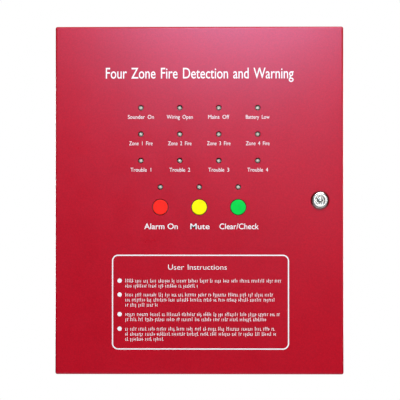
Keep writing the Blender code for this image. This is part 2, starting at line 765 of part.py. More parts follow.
def make_heat_sink():
    """A finned heat sink, standing on the main board."""
    rear_y = MAIN_FRONT_Y - GAP
    front_y = rear_y - SINK_DEPTH
    sink = block(
        "heat_sink", (SINK_LOW_X, front_y, SINK_LOW_Z), (SINK_HIGH_X, rear_y, SINK_HIGH_Z), ALUMINIUM
    )
    fin_pitch = (SINK_HIGH_X - SINK_LOW_X - FIN_THICKNESS) / (FIN_COUNT - 1)
    for index in range(FIN_COUNT - 1):
        gap_x = SINK_LOW_X + FIN_THICKNESS + index * fin_pitch
        gap = cutter(
            f"heat_sink_gap_{index}",
            (gap_x, front_y - THROUGH, SINK_LOW_Z + SINK_BASE),
            (gap_x + fin_pitch - FIN_THICKNESS, rear_y + THROUGH, SINK_HIGH_Z + THROUGH),
        )
        boolean(sink, gap)


def make_transformer():
    """A mains transformer: a laminated core, a taped coil round its middle leg, and a steel strap."""
    x, z = TRANSFORMER_X, TRANSFORMER_Z
    rear_y = BACK_WALL_Y - GAP
    front_y = rear_y - CORE_DEPTH
    middle_y = (front_y + rear_y) / 2
    half_width, half_stack = CORE_WIDTH / 2, CORE_STACK / 2
    core = block(
        "transformer_core",
        (x - half_stack, front_y, z - half_width),
        (x + half_stack, rear_y, z + half_width),
        CORE_STEEL,
    )
    half_leg = CORE_WIDTH / 6
    for side in (-1, 1):
        middle_z = z + side * (half_leg + WINDOW_WIDTH / 2)
        window = cutter(
            "transformer_window",
            (x - CORE_STACK, middle_y - WINDOW_DEPTH / 2, middle_z - WINDOW_WIDTH / 2),
            (x + CORE_STACK, middle_y + WINDOW_DEPTH / 2, middle_z + WINDOW_WIDTH / 2),
        )
        boolean(core, window)
    coil_half_z = half_leg + WINDOW_WIDTH - GAP
    coil_half_y = WINDOW_DEPTH / 2 - GAP
    coil = block(
        "transformer_coil",
        (x - COIL_LENGTH / 2, middle_y - coil_half_y, z - coil_half_z),
        (x + COIL_LENGTH / 2, middle_y + coil_half_y, z + coil_half_z),
        COIL_TAPE,
    )
    leg = cutter(
        "transformer_leg_space",
        (x - half_stack - GAP, middle_y - WINDOW_DEPTH, z - half_leg - GAP),
        (x + half_stack + GAP, middle_y + WINDOW_DEPTH, z + half_leg + GAP),
    )
    boolean(coil, leg)
    side_z = half_width + GAP + SHEET / 2
    foot_z = side_z + STRAP_FOOT
    foot_y = rear_y - SHEET / 2
    strap_y = front_y - GAP - SHEET / 2
    outline = [
        (z - foot_z, foot_y), (z - side_z, foot_y), (z - side_z, strap_y),
        (z + side_z, strap_y), (z + side_z, foot_y), (z + foot_z, foot_y),
    ]
    reach = half_stack - STRAP_INSET
    folded_strip("transformer_strap", outline, x - reach, x + reach, "X", STEEL)


def make_battery(index, x):
    """A sealed battery: the case, and two tab terminals rooted in its lid."""
    rear_y = BACK_WALL_Y - GAP
    low_z = BOX_FLOOR_Z + GAP
    half = BATTERY_WIDTH / 2
    top_z = low_z + BATTERY_HEIGHT
    case = block(
        f"battery_{index}",
        (x - half, rear_y - BATTERY_DEPTH, low_z),
        (x + half, rear_y, top_z),
        GREY_PLASTIC,
    )
    bevel(case, BATTERY_EDGE)
    tab_rear_y = rear_y - TAB_REAR
    for side in (-1, 1):
        tab_x = x + side * TAB_X
        tab = cutter(
            f"battery_{index}_tab",
            (tab_x - TAB_THICKNESS / 2, tab_rear_y - TAB_WIDTH, top_z - 0.001),
            (tab_x + TAB_THICKNESS / 2, tab_rear_y, top_z + TAB_HEIGHT),
        )
        boolean(case, tab, "UNION")


def make_battery_strap():
    """A folded strap round both batteries, with a foot on the back wall."""
    clear = GAP + SHEET / 2
    left_x = BATTERY_XS[0] - BATTERY_WIDTH / 2 - clear
    right_x = BATTERY_XS[1] + BATTERY_WIDTH / 2 + clear
    front_y = BACK_WALL_Y - GAP - BATTERY_DEPTH - clear
    foot_y = BACK_WALL_Y - clear
    outline = [
        (left_x, foot_y), (left_x, front_y), (right_x, front_y), (right_x, foot_y),
        (right_x + BATTERY_STRAP_FOOT, foot_y),
    ]
    middle_z = BOX_FLOOR_Z + BATTERY_HEIGHT / 2
    half = BATTERY_STRAP_WIDTH / 2
    folded_strip("battery_strap", outline, middle_z - half, middle_z + half, "Z", STEEL)


def make_mains_parts():
    """The mains terminal block and the earth bolt, on the back wall above the transformer."""
    rear_y = BACK_WALL_Y - GAP
    front_y = rear_y - MAINS_DEPTH
    body = block(
        "mains_terminals",
        (MAINS_LOW_X, front_y, MAINS_LOW_Z),
        (MAINS_HIGH_X, rear_y, MAINS_HIGH_Z),
        BLACK_PLASTIC,
    )
    step = cutter(
        "mains_terminals_step",
        (MAINS_LOW_X - THROUGH, front_y - THROUGH, MAINS_LOW_Z - THROUGH),
        (MAINS_HIGH_X + THROUGH, rear_y - MAINS_STEP_DEPTH, MAINS_STEP_Z),
    )
    boolean(body, step)
    turned("earth_bolt", EARTH_PROFILE, EARTH_X, rear_y, EARTH_Z, BRASS, COARSE)


def pivot(name, location, children, parent=None):
    """An empty on a joint's axis that carries the pieces which move with it, and their cutters."""
    empty = bpy.data.objects.new(name, None)
    PANEL.objects.link(empty)
    empty.location = location
    bpy.context.view_layer.update()
    if parent:
        empty.parent = parent
        empty.matrix_parent_inverse = parent.matrix_world.inverted()
        bpy.context.view_layer.update()
    for child in children:
        cutters = [modifier.object for modifier in child.modifiers if modifier.type == "BOOLEAN"]
        for obj in [child, *cutters]:
            obj.parent = empty
            obj.matrix_parent_inverse = empty.matrix_world.inverted()
    return empty


def main():
    make_back_box()
    make_lock_strike()
    make_main_board()
    make_heat_sink()
    make_transformer()
    make_mains_parts()
    for index, x in enumerate(BATTERY_XS, start=1):
        make_battery(index, x)
    make_battery_strap()

    door_pieces = [make_door(), make_lock_housing(), make_lock_nut()]
    door_pieces += make_lamps() + make_display_board()
    door_pieces += [make_switch(name, x) for name, x, _ in button_places()]
    door_pieces += [make_hinge("upper", HINGE_OFFSET_Z), make_hinge("lower", -HINGE_OFFSET_Z)]
    door_pivot = pivot("door_pivot", (HINGE_X, HINGE_Y, 0), door_pieces)
    for name, x, finish in button_places():
        button = make_button(name, x, finish)
        pivot(f"button_{name}_pivot", (x, BUTTON_SKIRT_Y, BUTTON_Z), [button], door_pivot)
    lock_pieces = [make_lock_plug(), make_lock_cam(), make_lock_screw()]
    pivot("lock_pivot", (LOCK_X, LOCK_REAR_Y, 0), lock_pieces, door_pivot)


main()
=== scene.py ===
"""Looks for the fire alarm control panel: fine meshes, printed legends and materials on the CAD frame."""

import json
import math
import random

import bmesh
import bpy
from mathutils import Matrix, Vector


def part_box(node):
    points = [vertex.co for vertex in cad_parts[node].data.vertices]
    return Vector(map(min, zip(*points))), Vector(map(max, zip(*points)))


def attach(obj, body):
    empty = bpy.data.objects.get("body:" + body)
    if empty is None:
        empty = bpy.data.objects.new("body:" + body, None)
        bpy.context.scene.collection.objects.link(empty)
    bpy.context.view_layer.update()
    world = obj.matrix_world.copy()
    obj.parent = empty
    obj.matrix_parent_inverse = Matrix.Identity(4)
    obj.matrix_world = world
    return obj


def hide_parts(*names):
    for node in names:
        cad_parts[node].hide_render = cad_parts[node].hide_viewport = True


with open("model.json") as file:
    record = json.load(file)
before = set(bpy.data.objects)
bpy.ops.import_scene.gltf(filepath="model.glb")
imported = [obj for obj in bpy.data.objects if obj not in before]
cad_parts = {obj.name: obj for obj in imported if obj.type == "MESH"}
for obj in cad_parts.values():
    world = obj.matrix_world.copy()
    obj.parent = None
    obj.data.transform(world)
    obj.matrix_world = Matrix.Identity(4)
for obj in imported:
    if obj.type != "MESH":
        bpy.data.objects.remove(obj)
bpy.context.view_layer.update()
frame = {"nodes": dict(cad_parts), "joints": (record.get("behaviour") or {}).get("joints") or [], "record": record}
FRONT, REAR, UP = (0, -1, 0), (0, 1, 0), (0, 0, 1)
CORNERS = [(side, level) for side in (-1, 1) for level in (-1, 1)]

# Folded sheet, in metres
SHEET = 0.0012
BEND_RADIUS, BEND_STEPS = 0.002, 6
DOOR_RETURN = 0.014
BOX_LIP = 0.006
PAINTED_EDGE, CAD_EDGE = 0.00018, 0.00015
CAD_EDGES = {
    "transformer_coil": 0.0022,
    "battery_strap": 0.0003,
    "transformer_strap": 0.0003,
    "buzzer": 0.0005,
}

DOOR_LOW, DOOR_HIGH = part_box("door_panel")
BOX_LOW, BOX_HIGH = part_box("back_box")
FACE_Y = DOOR_LOW.y
INSIDE_Y = FACE_Y + SHEET

# Holes in the door and the box
LAMP_HOLE, BUTTON_HOLE, LOCK_HOLE = 0.0028, 0.0083, 0.0081
KEYHOLE_X, KEYHOLE_Z, KEYHOLE_TOP_Z = 0.1, 0.12, 0.1305
KEYHOLE_RADIUS, KEYHOLE_SLOT = 0.0045, 0.0048
FIXING_Z, FIXING_RADIUS = -0.045, 0.0024
KNOCKOUT_RADIUS, KNOCKOUT_Y = 0.0103, -0.04
KNOCKOUT_XS = (-0.09, -0.045, 0.0, 0.045, 0.09)
GROOVE_WIDTH, GROOVE_DEPTH = 0.0005, 0.0007
PAST = 0.002  # how far a cutter runs past the sheet
STUD_PROUD = 0.0013  # how far a stud stands past its nut

# Lamps, buttons, lock and batteries
LAMPS = sorted(name for name in frame["nodes"] if name.startswith("lamp_"))
BUTTONS = sorted(name for name in frame["nodes"] if name.startswith("button_"))
LAMP_RADIUS, BUTTON_RADIUS = 0.0025, 0.0076
STEM_RADIUS, COLLAR_START, COLLAR_END = 0.0022, 0.0048, 0.0055
BUTTON_FINISH = {
    "button_evacuate": "button_red",
    "button_silence": "button_yellow",
    "button_reset": "button_green",
}
LOCK_AXIS = next(Vector(joint["pos_m"]) for joint in frame["joints"] if joint["name"] == "lock_turn")
LOCK_FACE, KEYWAY_OUTER, KEYWAY_INNER = 0.008, 0.0046, 0.0026
KEYWAY_DEPTH, KEYWAY_PINS = 0.006, 7
BARREL_RADIUS, BARREL_BORE = 0.0078, 0.0058
TAB_HEIGHT, TAB_OFFSET, LID_HEIGHT = 0.006, 0.028, 0.009
BATTERY_RIBS, BATTERY_CELLS = 6, 6

# Boards
PIN_PITCH = 0.00254
LAMP_LEAD = 0.00127
SWITCH_LEG_X, SWITCH_LEG_Z = 0.0063, 0.0025
FIELD_WAYS, MAINS_WAYS = 30, 4

# Printing on the door
INK, INK_GAP = 0.00004, 0.00001
PRINT_Y = FACE_Y - INK_GAP
CAPS_PER_SIZE = 0.729
TITLE = "Four Zone Fire Detection and Warning"
TITLE_AT, TITLE_SIZE = (0.0004, 0.1284), (0.0114, 0.189)
LAMP_LEGENDS = {
    "lamp_sounder_on": ("Sounder On", 0.0262),
    "lamp_sounder_fault": ("Wiring Open", 0.0262),
    "lamp_mains_fault": ("Mains Off", 0.0212),
    "lamp_battery_fault": ("Battery Low", 0.0238),
}
for zone in (1, 2, 3, 4):
    LAMP_LEGENDS[f"lamp_zone_{zone}_fire"] = (f"Zone {zone} Fire", 0.0236)
    LAMP_LEGENDS[f"lamp_zone_{zone}_fault"] = (f"Trouble {zone}", 0.0208)
LAMP_LEGEND_DROP, LAMP_LEGEND_CAPS, LAMP_WORD_GAP = 0.0091, 0.0041, 1.9
BUTTON_LEGENDS = {
    "button_evacuate": ("Alarm On", 0.0338, 0.0007),
    "button_silence": ("Mute", 0.0192, 0.0007),
    "button_reset": ("Clear/Check", 0.0395, 0.0009),
}
BUTTON_LEGEND_DROP, BUTTON_LEGEND_CAPS = 0.0191, 0.0059
GUIDE_X, GUIDE_WIDTH = 0.0012, 0.178
GUIDE_TOP_Z, GUIDE_BOTTOM_Z = -0.0547, -0.15
GUIDE_LINE, GUIDE_CORNER = 0.0012, 0.0062
GUIDE_HEADING = "User Instructions"
GUIDE_HEADING_AT, GUIDE_HEADING_SIZE = (-0.0018, -0.067), (0.0055, 0.059)
BULLET_X, BULLET_RADIUS, BULLET_STEPS = -0.0801, 0.0022, 28
STROKES_X, STROKE_CAPS = -0.074, 0.0037
STROKE_PITCH, STROKE_WIDTH = 0.0017, 0.00044
LINE_PITCH = 0.0051
WORD_LENGTHS = (2, 3, 4, 4, 5, 6, 7, 8)
CROSS_LEVELS = (0.08, 0.36, 0.66)
GUIDE_PARAGRAPHS = [
    (-0.0808, [0.156, 0.073]),
    (-0.0948, [0.148, 0.15, 0.032]),
    (-0.1145, [0.155, 0.142]),
    (-0.1291, [0.15, 0.152, 0.037]),
]

# Floor and light
FLOOR_Z = -0.6
WORLD_FILL = 0.05
KEY_POWER, LOW_POWER = 42, 8
SHEEN_POWER, CARD_POWER, REAR_POWER = 13.5, 0.17, 20

# Camera
LENS = 120.0
CAMERA_AZIMUTH, CAMERA_ELEVATION = 0.7, -0.55
CAMERA_DISTANCE = 1.341
CAMERA_TARGET = Vector((0.00075, FACE_Y, 0.0003))


# --- Materials ---


SOCKETS = {
    "ior": "IOR",
    "transmission": "Transmission Weight",
    "specular": "Specular IOR Level",
    "specular_tint": "Specular Tint",
    "coat": "Coat Weight",
    "coat_roughness": "Coat Roughness",
}


class Shader:
    """A Principled material and the texture nodes that feed it, in object coordinates."""

    def __init__(self, name, roughness=0.5, metallic=0.0, **sockets):
        self.material = bpy.data.materials.new(name)
        self.material.use_nodes = True
        self.tree = self.material.node_tree
        self.shader = self.tree.nodes["Principled BSDF"]
        self.shader.inputs["Roughness"].default_value = roughness
        self.shader.inputs["Metallic"].default_value = metallic
        for socket, value in sockets.items():
            self.shader.inputs[SOCKETS[socket]].default_value = value
        self.place = self.tree.nodes.new("ShaderNodeTexCoord").outputs["Object"]

    def node(self, kind, **settings):
        made = self.tree.nodes.new(kind)
        for key, value in settings.items():
            setattr(made, key, value)
        return made

    def link(self, output, socket):
        self.tree.links.new(output, socket)

    def noise(self, scale, detail=2.0, stretch=None):
        """Noise in object coordinates, which may be stretched by a scale on each axis."""
        texture = self.node("ShaderNodeTexNoise")
        texture.inputs["Scale"].default_value = scale
        texture.inputs["Detail"].default_value = detail
        place = self.place
        if stretch:
            mapping = self.node("ShaderNodeMapping")
            mapping.inputs["Scale"].default_value = stretch
            self.link(place, mapping.inputs["Vector"])
            place = mapping.outputs["Vector"]
        self.link(place, texture.inputs["Vector"])
        return texture.outputs["Fac"]

    def ramp(self, value, stops):
        """A colour ramp of (position, colour) stops."""
        ramp = self.node("ShaderNodeValToRGB")
        elements = ramp.color_ramp.elements
        while len(elements) < len(stops):
            elements.new(0.5)
        for element, (position, color) in zip(elements, stops):
            element.position = position
            element.color = (*color, 1.0)
        self.link(value, ramp.inputs["Fac"])
        return ramp.outputs["Color"]

    def multiply(self, first, second):
        mixer = self.node("ShaderNodeMix", data_type="RGBA", blend_type="MULTIPLY")
        mixer.inputs[0].default_value = 1.0
        self.link(first, mixer.inputs[6])
        self.link(second, mixer.inputs[7])
        return mixer.outputs[2]

    def color(self, output):
        self.link(output, self.shader.inputs["Base Color"])

    def tones(self, value, low, high, start=0.3, end=0.7):
        """The base colour: low up to one level of a texture, high from another."""
        self.color(self.ramp(value, [(start, low), (end, high)]))

    def rough(self, value, low, high):
        """Roughness between two numbers, from a texture."""
        spread = self.node("ShaderNodeMapRange")
        spread.inputs["To Min"].default_value = low
        spread.inputs["To Max"].default_value = high
        self.link(value, spread.inputs["Value"])
        self.link(spread.outputs["Result"], self.shader.inputs["Roughness"])

    def bump(self, height, depth, strength):
        """Adds relief of a given depth in metres, on top of any relief already there."""
        bump = self.node("ShaderNodeBump")
        bump.inputs["Distance"].default_value = depth
        bump.inputs["Strength"].default_value = strength
        self.link(height, bump.inputs["Height"])
        normal = self.shader.inputs["Normal"]
        if normal.is_linked:
            self.link(normal.links[0].from_socket, bump.inputs["Normal"])
        self.link(bump.outputs["Normal"], normal)


def tint(color, factor):
    return tuple(min(1.0, channel * factor) for channel in color)


def red_paint():
    """Powder coat: a fine orange-peel relief, faint mottling and slightly uneven gloss."""
    made = Shader("red_powder_coat", specular_tint=(1.0, 0.7, 1.0, 1.0))
    base = (0.466, 0.0018, 0.0105)
    speckle = made.ramp(made.noise(850, 3), [(0.3, tint(base, 0.88)), (0.7, tint(base, 1.12))])
    cloud = made.ramp(made.noise(14, 2), [(0.35, (0.95, 0.95, 0.95)), (0.65, (1.0, 1.0, 1.0))])
    made.color(made.multiply(speckle, cloud))
    made.rough(made.noise(60, 3), 0.26, 0.33)
    made.bump(made.noise(1100, 2), 0.00006, 0.35)
    made.bump(made.noise(320, 1), 0.0001, 0.12)
    return made.material


def white_ink():
    """Screen-printed ink, a little thin in places."""
    made = Shader("white_ink", roughness=0.55)
    made.tones(made.noise(2400, 2), (0.8, 0.77, 0.76), (0.9, 0.89, 0.88), 0.25, 0.6)
    made.bump(made.noise(1800, 2), 0.00002, 0.3)
    return made.material


def moulded(name, color, roughness=0.45, grain=2200, relief=0.00003, **sockets):
    """Moulded plastic with a fine spark-eroded texture and a trace of colour variation."""
    made = Shader(name, **sockets)
    made.tones(made.noise(180, 3), tint(color, 0.93), tint(color, 1.05))
    made.rough(made.noise(90, 2), roughness - 0.05, roughness + 0.06)
    made.bump(made.noise(grain, 2), relief, 0.4)
    return made.material


def metal(name, color, roughness, stretch=None, scale=300, relief=0.00002, **sockets):
    """Metal with fine marks, drawn out along the axis that the stretch leaves slow."""
    made = Shader(name, metallic=1.0, **sockets)
    marks = made.noise(scale, 4, stretch)
    made.tones(made.noise(45, 3), tint(color, 0.9), tint(color, 1.06))
    made.rough(marks, max(0.03, roughness - 0.08), roughness + 0.1)
    made.bump(marks, relief, 0.5)
    return made.material


def clear(name, low, high, transmission, roughness, **sockets):
    """Clear resin or glass, faintly uneven."""
    made = Shader(name, ior=1.52, transmission=transmission, **sockets)
    made.tones(made.noise(700, 2), low, high)
    made.rough(made.noise(900, 2), roughness, roughness + 0.06)
    return made.material


def layered(name, grain, colors, gloss, relief, **sockets):
    """A material whose colour and relief follow one stretched grain, with a slower change of gloss."""
    made = Shader(name, **sockets)
    layers = made.noise(*grain)
    made.tones(layers, *colors)
    scale, low, high = gloss
    made.rough(made.noise(scale, 2), low, high)
    made.bump(layers, *relief)
    return made.material


def circuit_board():
    """Solder mask over woven glass: a fine weave under a glossy green."""
    grain = (900, 2, (1.0, 1.0, 0.25))
    colors = ((0.01, 0.085, 0.03), (0.016, 0.125, 0.046))
    coat = {"coat": 0.3, "coat_roughness": 0.15}
    return layered("solder_mask", grain, colors, (200, 0.28, 0.4), (0.00003, 0.3), **coat)


def laminations():
    """Varnished steel stampings, seen as thin lines along the stack."""
    grain = (1900, 1, (1.0, 0.02, 0.02))
    colors = ((0.055, 0.053, 0.052), (0.21, 0.205, 0.2), 0.4, 0.6)
    return layered("core_laminations", grain, colors, (150, 0.38, 0.55), (0.00015, 0.7), metallic=0.6)


def film_tape():
    """Amber film tape wound over the coil in layers."""
    grain = (260, 2, (1.0, 0.03, 0.03))
    colors = ((0.42, 0.23, 0.022), (0.66, 0.4, 0.05), 0.35, 0.65)
    coat = {"coat": 0.5, "coat_roughness": 0.12}
    return layered("film_tape", grain, colors, (90, 0.22, 0.34), (0.00012, 0.5), **coat)


ZINC, BLACK = "zinc_plated_steel", "black_plastic"
MATERIALS = {
    "red_paint": red_paint(),
    "white_ink": white_ink(),
    "lamp_clear": clear("lamp_epoxy", (0.8, 0.77, 0.58), (0.96, 0.94, 0.78), 0.25, 0.2, specular=0.3),
    "glass": clear("fuse_glass", (0.92, 0.94, 0.93), (0.97, 0.98, 0.97), 0.95, 0.02),
    "button_red": moulded("button_red", (0.93, 0.018, 0.009), 0.46, specular=0.14),
    "button_yellow": moulded("button_yellow", (0.95, 0.84, 0.0), 0.46, specular=0.1),
    "button_green": moulded("button_green", (0.0, 0.6, 0.062), 0.46, specular=0.1),
    "chrome": metal("chrome", (0.9, 0.89, 0.85), 0.17, None, 500, 0.00001),
    # painted shade: chrome darkened so the lock's bezel shows the dark reflection of the room and door as a dark
    # ring
    "shade_painted_chrome": metal("shade_painted_chrome", (0.3, 0.26, 0.26), 0.12, None, 500, 0.00001),
    ZINC: metal(ZINC, (0.66, 0.67, 0.66), 0.36, (1, 1, 0.15), 2600, 0.000004),
    "green_board": circuit_board(),
    "masked_copper": moulded("masked_copper", (0.022, 0.2, 0.06), 0.3),
    "solder": metal("solder", (0.7, 0.7, 0.68), 0.3, None, 900),
    BLACK: moulded(BLACK, (0.018, 0.018, 0.02), 0.48),
    "white_plastic": moulded("white_plastic", (0.72, 0.7, 0.64), 0.42),
    "grey_plastic": moulded("battery_case", (0.15, 0.155, 0.165), 0.46, 1200, 0.00006),
    "green_plastic": moulded("terminal_green", (0.02, 0.26, 0.085), 0.42),
    "blue_plastic": moulded("relay_blue", (0.015, 0.09, 0.36), 0.34),
    "lead_red": moulded("lead_red", (0.5, 0.012, 0.01), 0.42),
    "resistor_tan": moulded("resistor_tan", (0.52, 0.36, 0.2), 0.4),
    "resistor_blue": moulded("resistor_blue", (0.12, 0.32, 0.52), 0.4),
    "core_steel": laminations(),
    "coil_tape": film_tape(),
    "aluminium": metal("aluminium", (0.6, 0.61, 0.62), 0.36, (1, 1, 0.05), 900),
    "brass": metal("brass", (0.74, 0.54, 0.2), 0.26, None, 400),
}


# --- Mesh helpers ---


def link(obj):
    """Adds an object to the scene."""
    bpy.context.scene.collection.objects.link(obj)
    return obj


def dress(obj, slot, body, replaces=(), sharp=35.0):
    """Finishes a piece: smooth except at sharp corners, in its material, riding on its body."""
    obj.data.shade_smooth()
    obj.data.set_sharp_from_angle(angle=math.radians(sharp))
    obj.data.materials.clear()
    obj.data.materials.append(MATERIALS[slot])
    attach(obj, body)
    if replaces:
        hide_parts(*replaces)
    return obj


def flat_light(obj):
    """Keeps the shading of flat faces flat where they meet rounded edges."""
    weighted = obj.modifiers.new("shading", "WEIGHTED_NORMAL")
    weighted.keep_sharp = True
    return obj


def piece(name, bm, slot, body, replaces=(), sharp=35.0):
    """Makes a finished piece of a bmesh, which it frees."""
    return flat_light(dress(scratch(name, bm), slot, body, replaces, sharp))


def cube(bm, low, high):
    """A plain box between two corners, and its points."""
    place = Matrix.Translation((low + high) / 2) @ Matrix.Diagonal((*(high - low), 1))
    return bmesh.ops.create_cube(bm, size=1.0, matrix=place)["verts"]


def box_between(bm, low, high, radius=0.0003, steps=2):
    """A box with rounded edges."""
    made = cube(bm, Vector(low), Vector(high))
    around = list(dict.fromkeys(edge for vert in made for edge in vert.link_edges))
    bmesh.ops.bevel(bm, geom=around, offset=radius, segments=steps, profile=0.5, affect="EDGES")


def block(bm, x, z, width, height, near_y, far_y, radius=0.0003, steps=2):
    """A box with rounded edges, centred on (x, z), between two depths."""
    low = (x - width / 2, near_y, z - height / 2)
    high = (x + width / 2, far_y, z + height / 2)
    box_between(bm, low, high, radius, steps)


def turned(bm, profile, origin, direction=FRONT, steps=48):
    """A turned shape of (radius, height) points, with heights along direction from origin."""
    axis = Vector(direction).normalized()
    side = axis.orthogonal().normalized()
    other = axis.cross(side)
    rings = []
    for radius, height in profile:
        base = Vector(origin) + axis * height
        count = 1 if radius < 1e-7 else steps
        ring = []
        for step in range(count):
            angle = 2 * math.pi * step / steps
            ring.append(bm.verts.new(base + (side * math.cos(angle) + other * math.sin(angle)) * radius))
        rings.append(ring)
    pairs = list(zip(rings, rings[1:]))
    if len(rings[0]) > 1 and len(rings[-1]) > 1:
        pairs.append((rings[-1], rings[0]))
    faces = []
    for lower, upper in pairs:
        for step in range(steps):
            after = (step + 1) % steps
            near = [lower[step % len(lower)], lower[after % len(lower)]]
            far = [upper[after % len(upper)], upper[step % len(upper)]]
            corners = list(dict.fromkeys(near + far))
            if len(corners) > 2:
                faces.append(bm.faces.new(corners))
    bmesh.ops.recalc_face_normals(bm, faces=faces)


def rounded(points, radius, steps=3):
    """A profile whose inner points are rounded to a radius."""
    out = [points[0]]
    for before, here, after in zip(points, points[1:], points[2:]):
        a, b, c = Vector(before), Vector(here), Vector(after)
        reach = min(radius, (a - b).length / 2.01, (c - b).length / 2.01)
        start, end = b + (a - b).normalized() * reach, b + (c - b).normalized() * reach
        for step in range(steps + 1):
            t = step / steps
            out.append(tuple(start.lerp(b, t).lerp(b.lerp(end, t), t)))
    out.append(points[-1])
    return out


def drum(radius, length):
    """The profile of a plain round bar."""
    return [(0, 0), (radius, 0), (radius, length), (0, length)]


def thread(near, far, start, end, pitch):
    """A thread's profile, which changes between two radii from start towards end, and where it stops."""
    points = []
    height = start
    while (end - height) * pitch > 0:
        points += [(near, height), (far, height + pitch / 2)]
        height += pitch
    return points, height


def dome(radius, height, steps=10):
    """The profile of half a ball of a radius, ending at a height on the axis."""
    angles = [math.pi / 2 * step / steps for step in range(steps)]
    centre_height = height - radius
    return [(radius * math.cos(a), centre_height + radius * math.sin(a)) for a in angles] + [(0, height)]


def scratch(name, bm):
    """A working object, which another piece is cut with, or which is finished later."""
    mesh = bpy.data.meshes.new(name)
    bm.to_mesh(mesh)
    bm.free()
    return link(bpy.data.objects.new(name, mesh))


def cut(obj, *cutters):
    """A new object of the same name, with the cutters taken away and every modifier applied."""
    for cutter in cutters:
        modifier = obj.modifiers.new(cutter.name, "BOOLEAN")
        modifier.operation = "DIFFERENCE"
        modifier.solver = "EXACT"
        modifier.object = cutter
    name = obj.name
    graph = bpy.context.evaluated_depsgraph_get()
    mesh = bpy.data.meshes.new_from_object(obj.evaluated_get(graph))
    for used in (obj, *cutters):
        bpy.data.objects.remove(used)
    mesh.name = name
    return link(bpy.data.objects.new(name, mesh))


def soften(obj, width, steps=2, angle=40.0):
    """Rounds an object's sharp edges."""
    modifier = obj.modifiers.new("edge", "BEVEL")
    modifier.width = width
    modifier.segments = steps
    modifier.limit_method = "ANGLE"
    modifier.angle_limit = math.radians(angle)
    modifier.miter_outer = "MITER_ARC"
    flat_light(obj)


def rods(name, centres, radius, front_y, rear_y, steps=64):
    """Round cutters along Y."""
    bm = bmesh.new()
    length = rear_y - front_y
    for x, z in centres:
        turned(bm, drum(radius, length), (x, rear_y, z), steps=steps)
    return scratch(name, bm)


def place(node):
    """Where a node stands, as (x, z)."""
    low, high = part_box(node)
    middle = (low + high) / 2
    return middle.x, middle.z


def pan_head(bm, at, radius, direction=FRONT):
    """A pan-head screw's head, dished in the middle, standing on a point."""
    height = radius * 0.62
    dish = radius * 0.42
    start = len(bm.verts)
    profile = [(0, 0), (radius, 0), (radius * 0.97, height * 0.7), (radius * 0.55, height), (0, height)]
    turned(bm, rounded(profile, radius * 0.25), at, direction, 24)
    bm.verts.ensure_lookup_table()
    axis = Vector(direction).normalized()
    for vert in bm.verts[start:]:
        reach = vert.co - Vector(at)
        off = reach - axis * reach.dot(axis)
        if off.length < dish:
            vert.co -= axis * height * 0.45 * (1 - off.length / dish)


# --- Door, box and printing ---


def pan(name, low, high, open_front, lip):
    """A tray of folded sheet between two corners, open at the front or back, with a lip or without."""
    bm = bmesh.new()
    cube(bm, low, high)
    way = -1 if open_front else 1
    mouth = max(bm.faces, key=lambda face: face.normal.y * way)
    kept = [] if lip else list(mouth.edges)
    folds = [edge for edge in bm.edges if edge not in kept]
    bmesh.ops.bevel(bm, geom=folds, offset=BEND_RADIUS, segments=BEND_STEPS, profile=0.5, affect="EDGES")
    mouth = max(bm.faces, key=lambda face: face.normal.y * way * face.calc_area())
    if lip:
        bmesh.ops.inset_region(bm, faces=[mouth], thickness=lip - BEND_RADIUS)
    bmesh.ops.delete(bm, geom=[mouth], context="FACES_ONLY")
    obj = scratch(name, bm)
    sheet = obj.modifiers.new("sheet", "SOLIDIFY")
    sheet.thickness = SHEET
    sheet.offset = -1
    sheet.use_even_offset = True
    return obj


def make_door():
    rear = Vector((DOOR_HIGH.x, FACE_Y + DOOR_RETURN, DOOR_HIGH.z))
    front_y, rear_y = FACE_Y - PAST, INSIDE_Y + PAST
    door = cut(
        pan("door_skin", DOOR_LOW, rear, False, 0),
        rods("lamp_holes", map(place, LAMPS), LAMP_HOLE, front_y, rear_y, 40),
        rods("button_holes", map(place, BUTTONS), BUTTON_HOLE, front_y, rear_y),
        rods("lock_hole", [(LOCK_AXIS.x, LOCK_AXIS.z)], LOCK_HOLE, front_y, rear_y),
    )
    soften(dress(door, "red_paint", "door", ["door_panel"]), PAINTED_EDGE)
    tip_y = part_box("display_nut_1")[1].y + STUD_PROUD
    make_studs("door_studs", "display", INSIDE_Y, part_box("display_board")[0].y, tip_y, "door")


def make_studs(name, board, root_y, shoulder_y, tip_y, body):
    """The weld studs that carry a board: shouldered, threaded, with a small ring of weld at the root."""
    bm = bmesh.new()
    shoulder, tip = abs(shoulder_y - root_y), abs(tip_y - root_y)
    profile = [(0, 0), (0.0039, 0), (0.003, 0.0006), (0.003, shoulder - 0.0003)]
    if shoulder < 0.0012:
        profile = [(0, 0), (0.003, 0), (0.003, shoulder)]
    turns, end = thread(0.00122, 0.00145, shoulder, tip - 0.0009, 0.0005)
    profile += turns + [(0.0012, end), (0.0009, tip), (0, tip)]
    for number in (1, 2, 3, 4):
        x, z = place(f"{board}_nut_{number}")
        turned(bm, profile, (x, root_y, z), REAR if tip_y > root_y else FRONT, 20)
    piece(name, bm, ZINC, body)


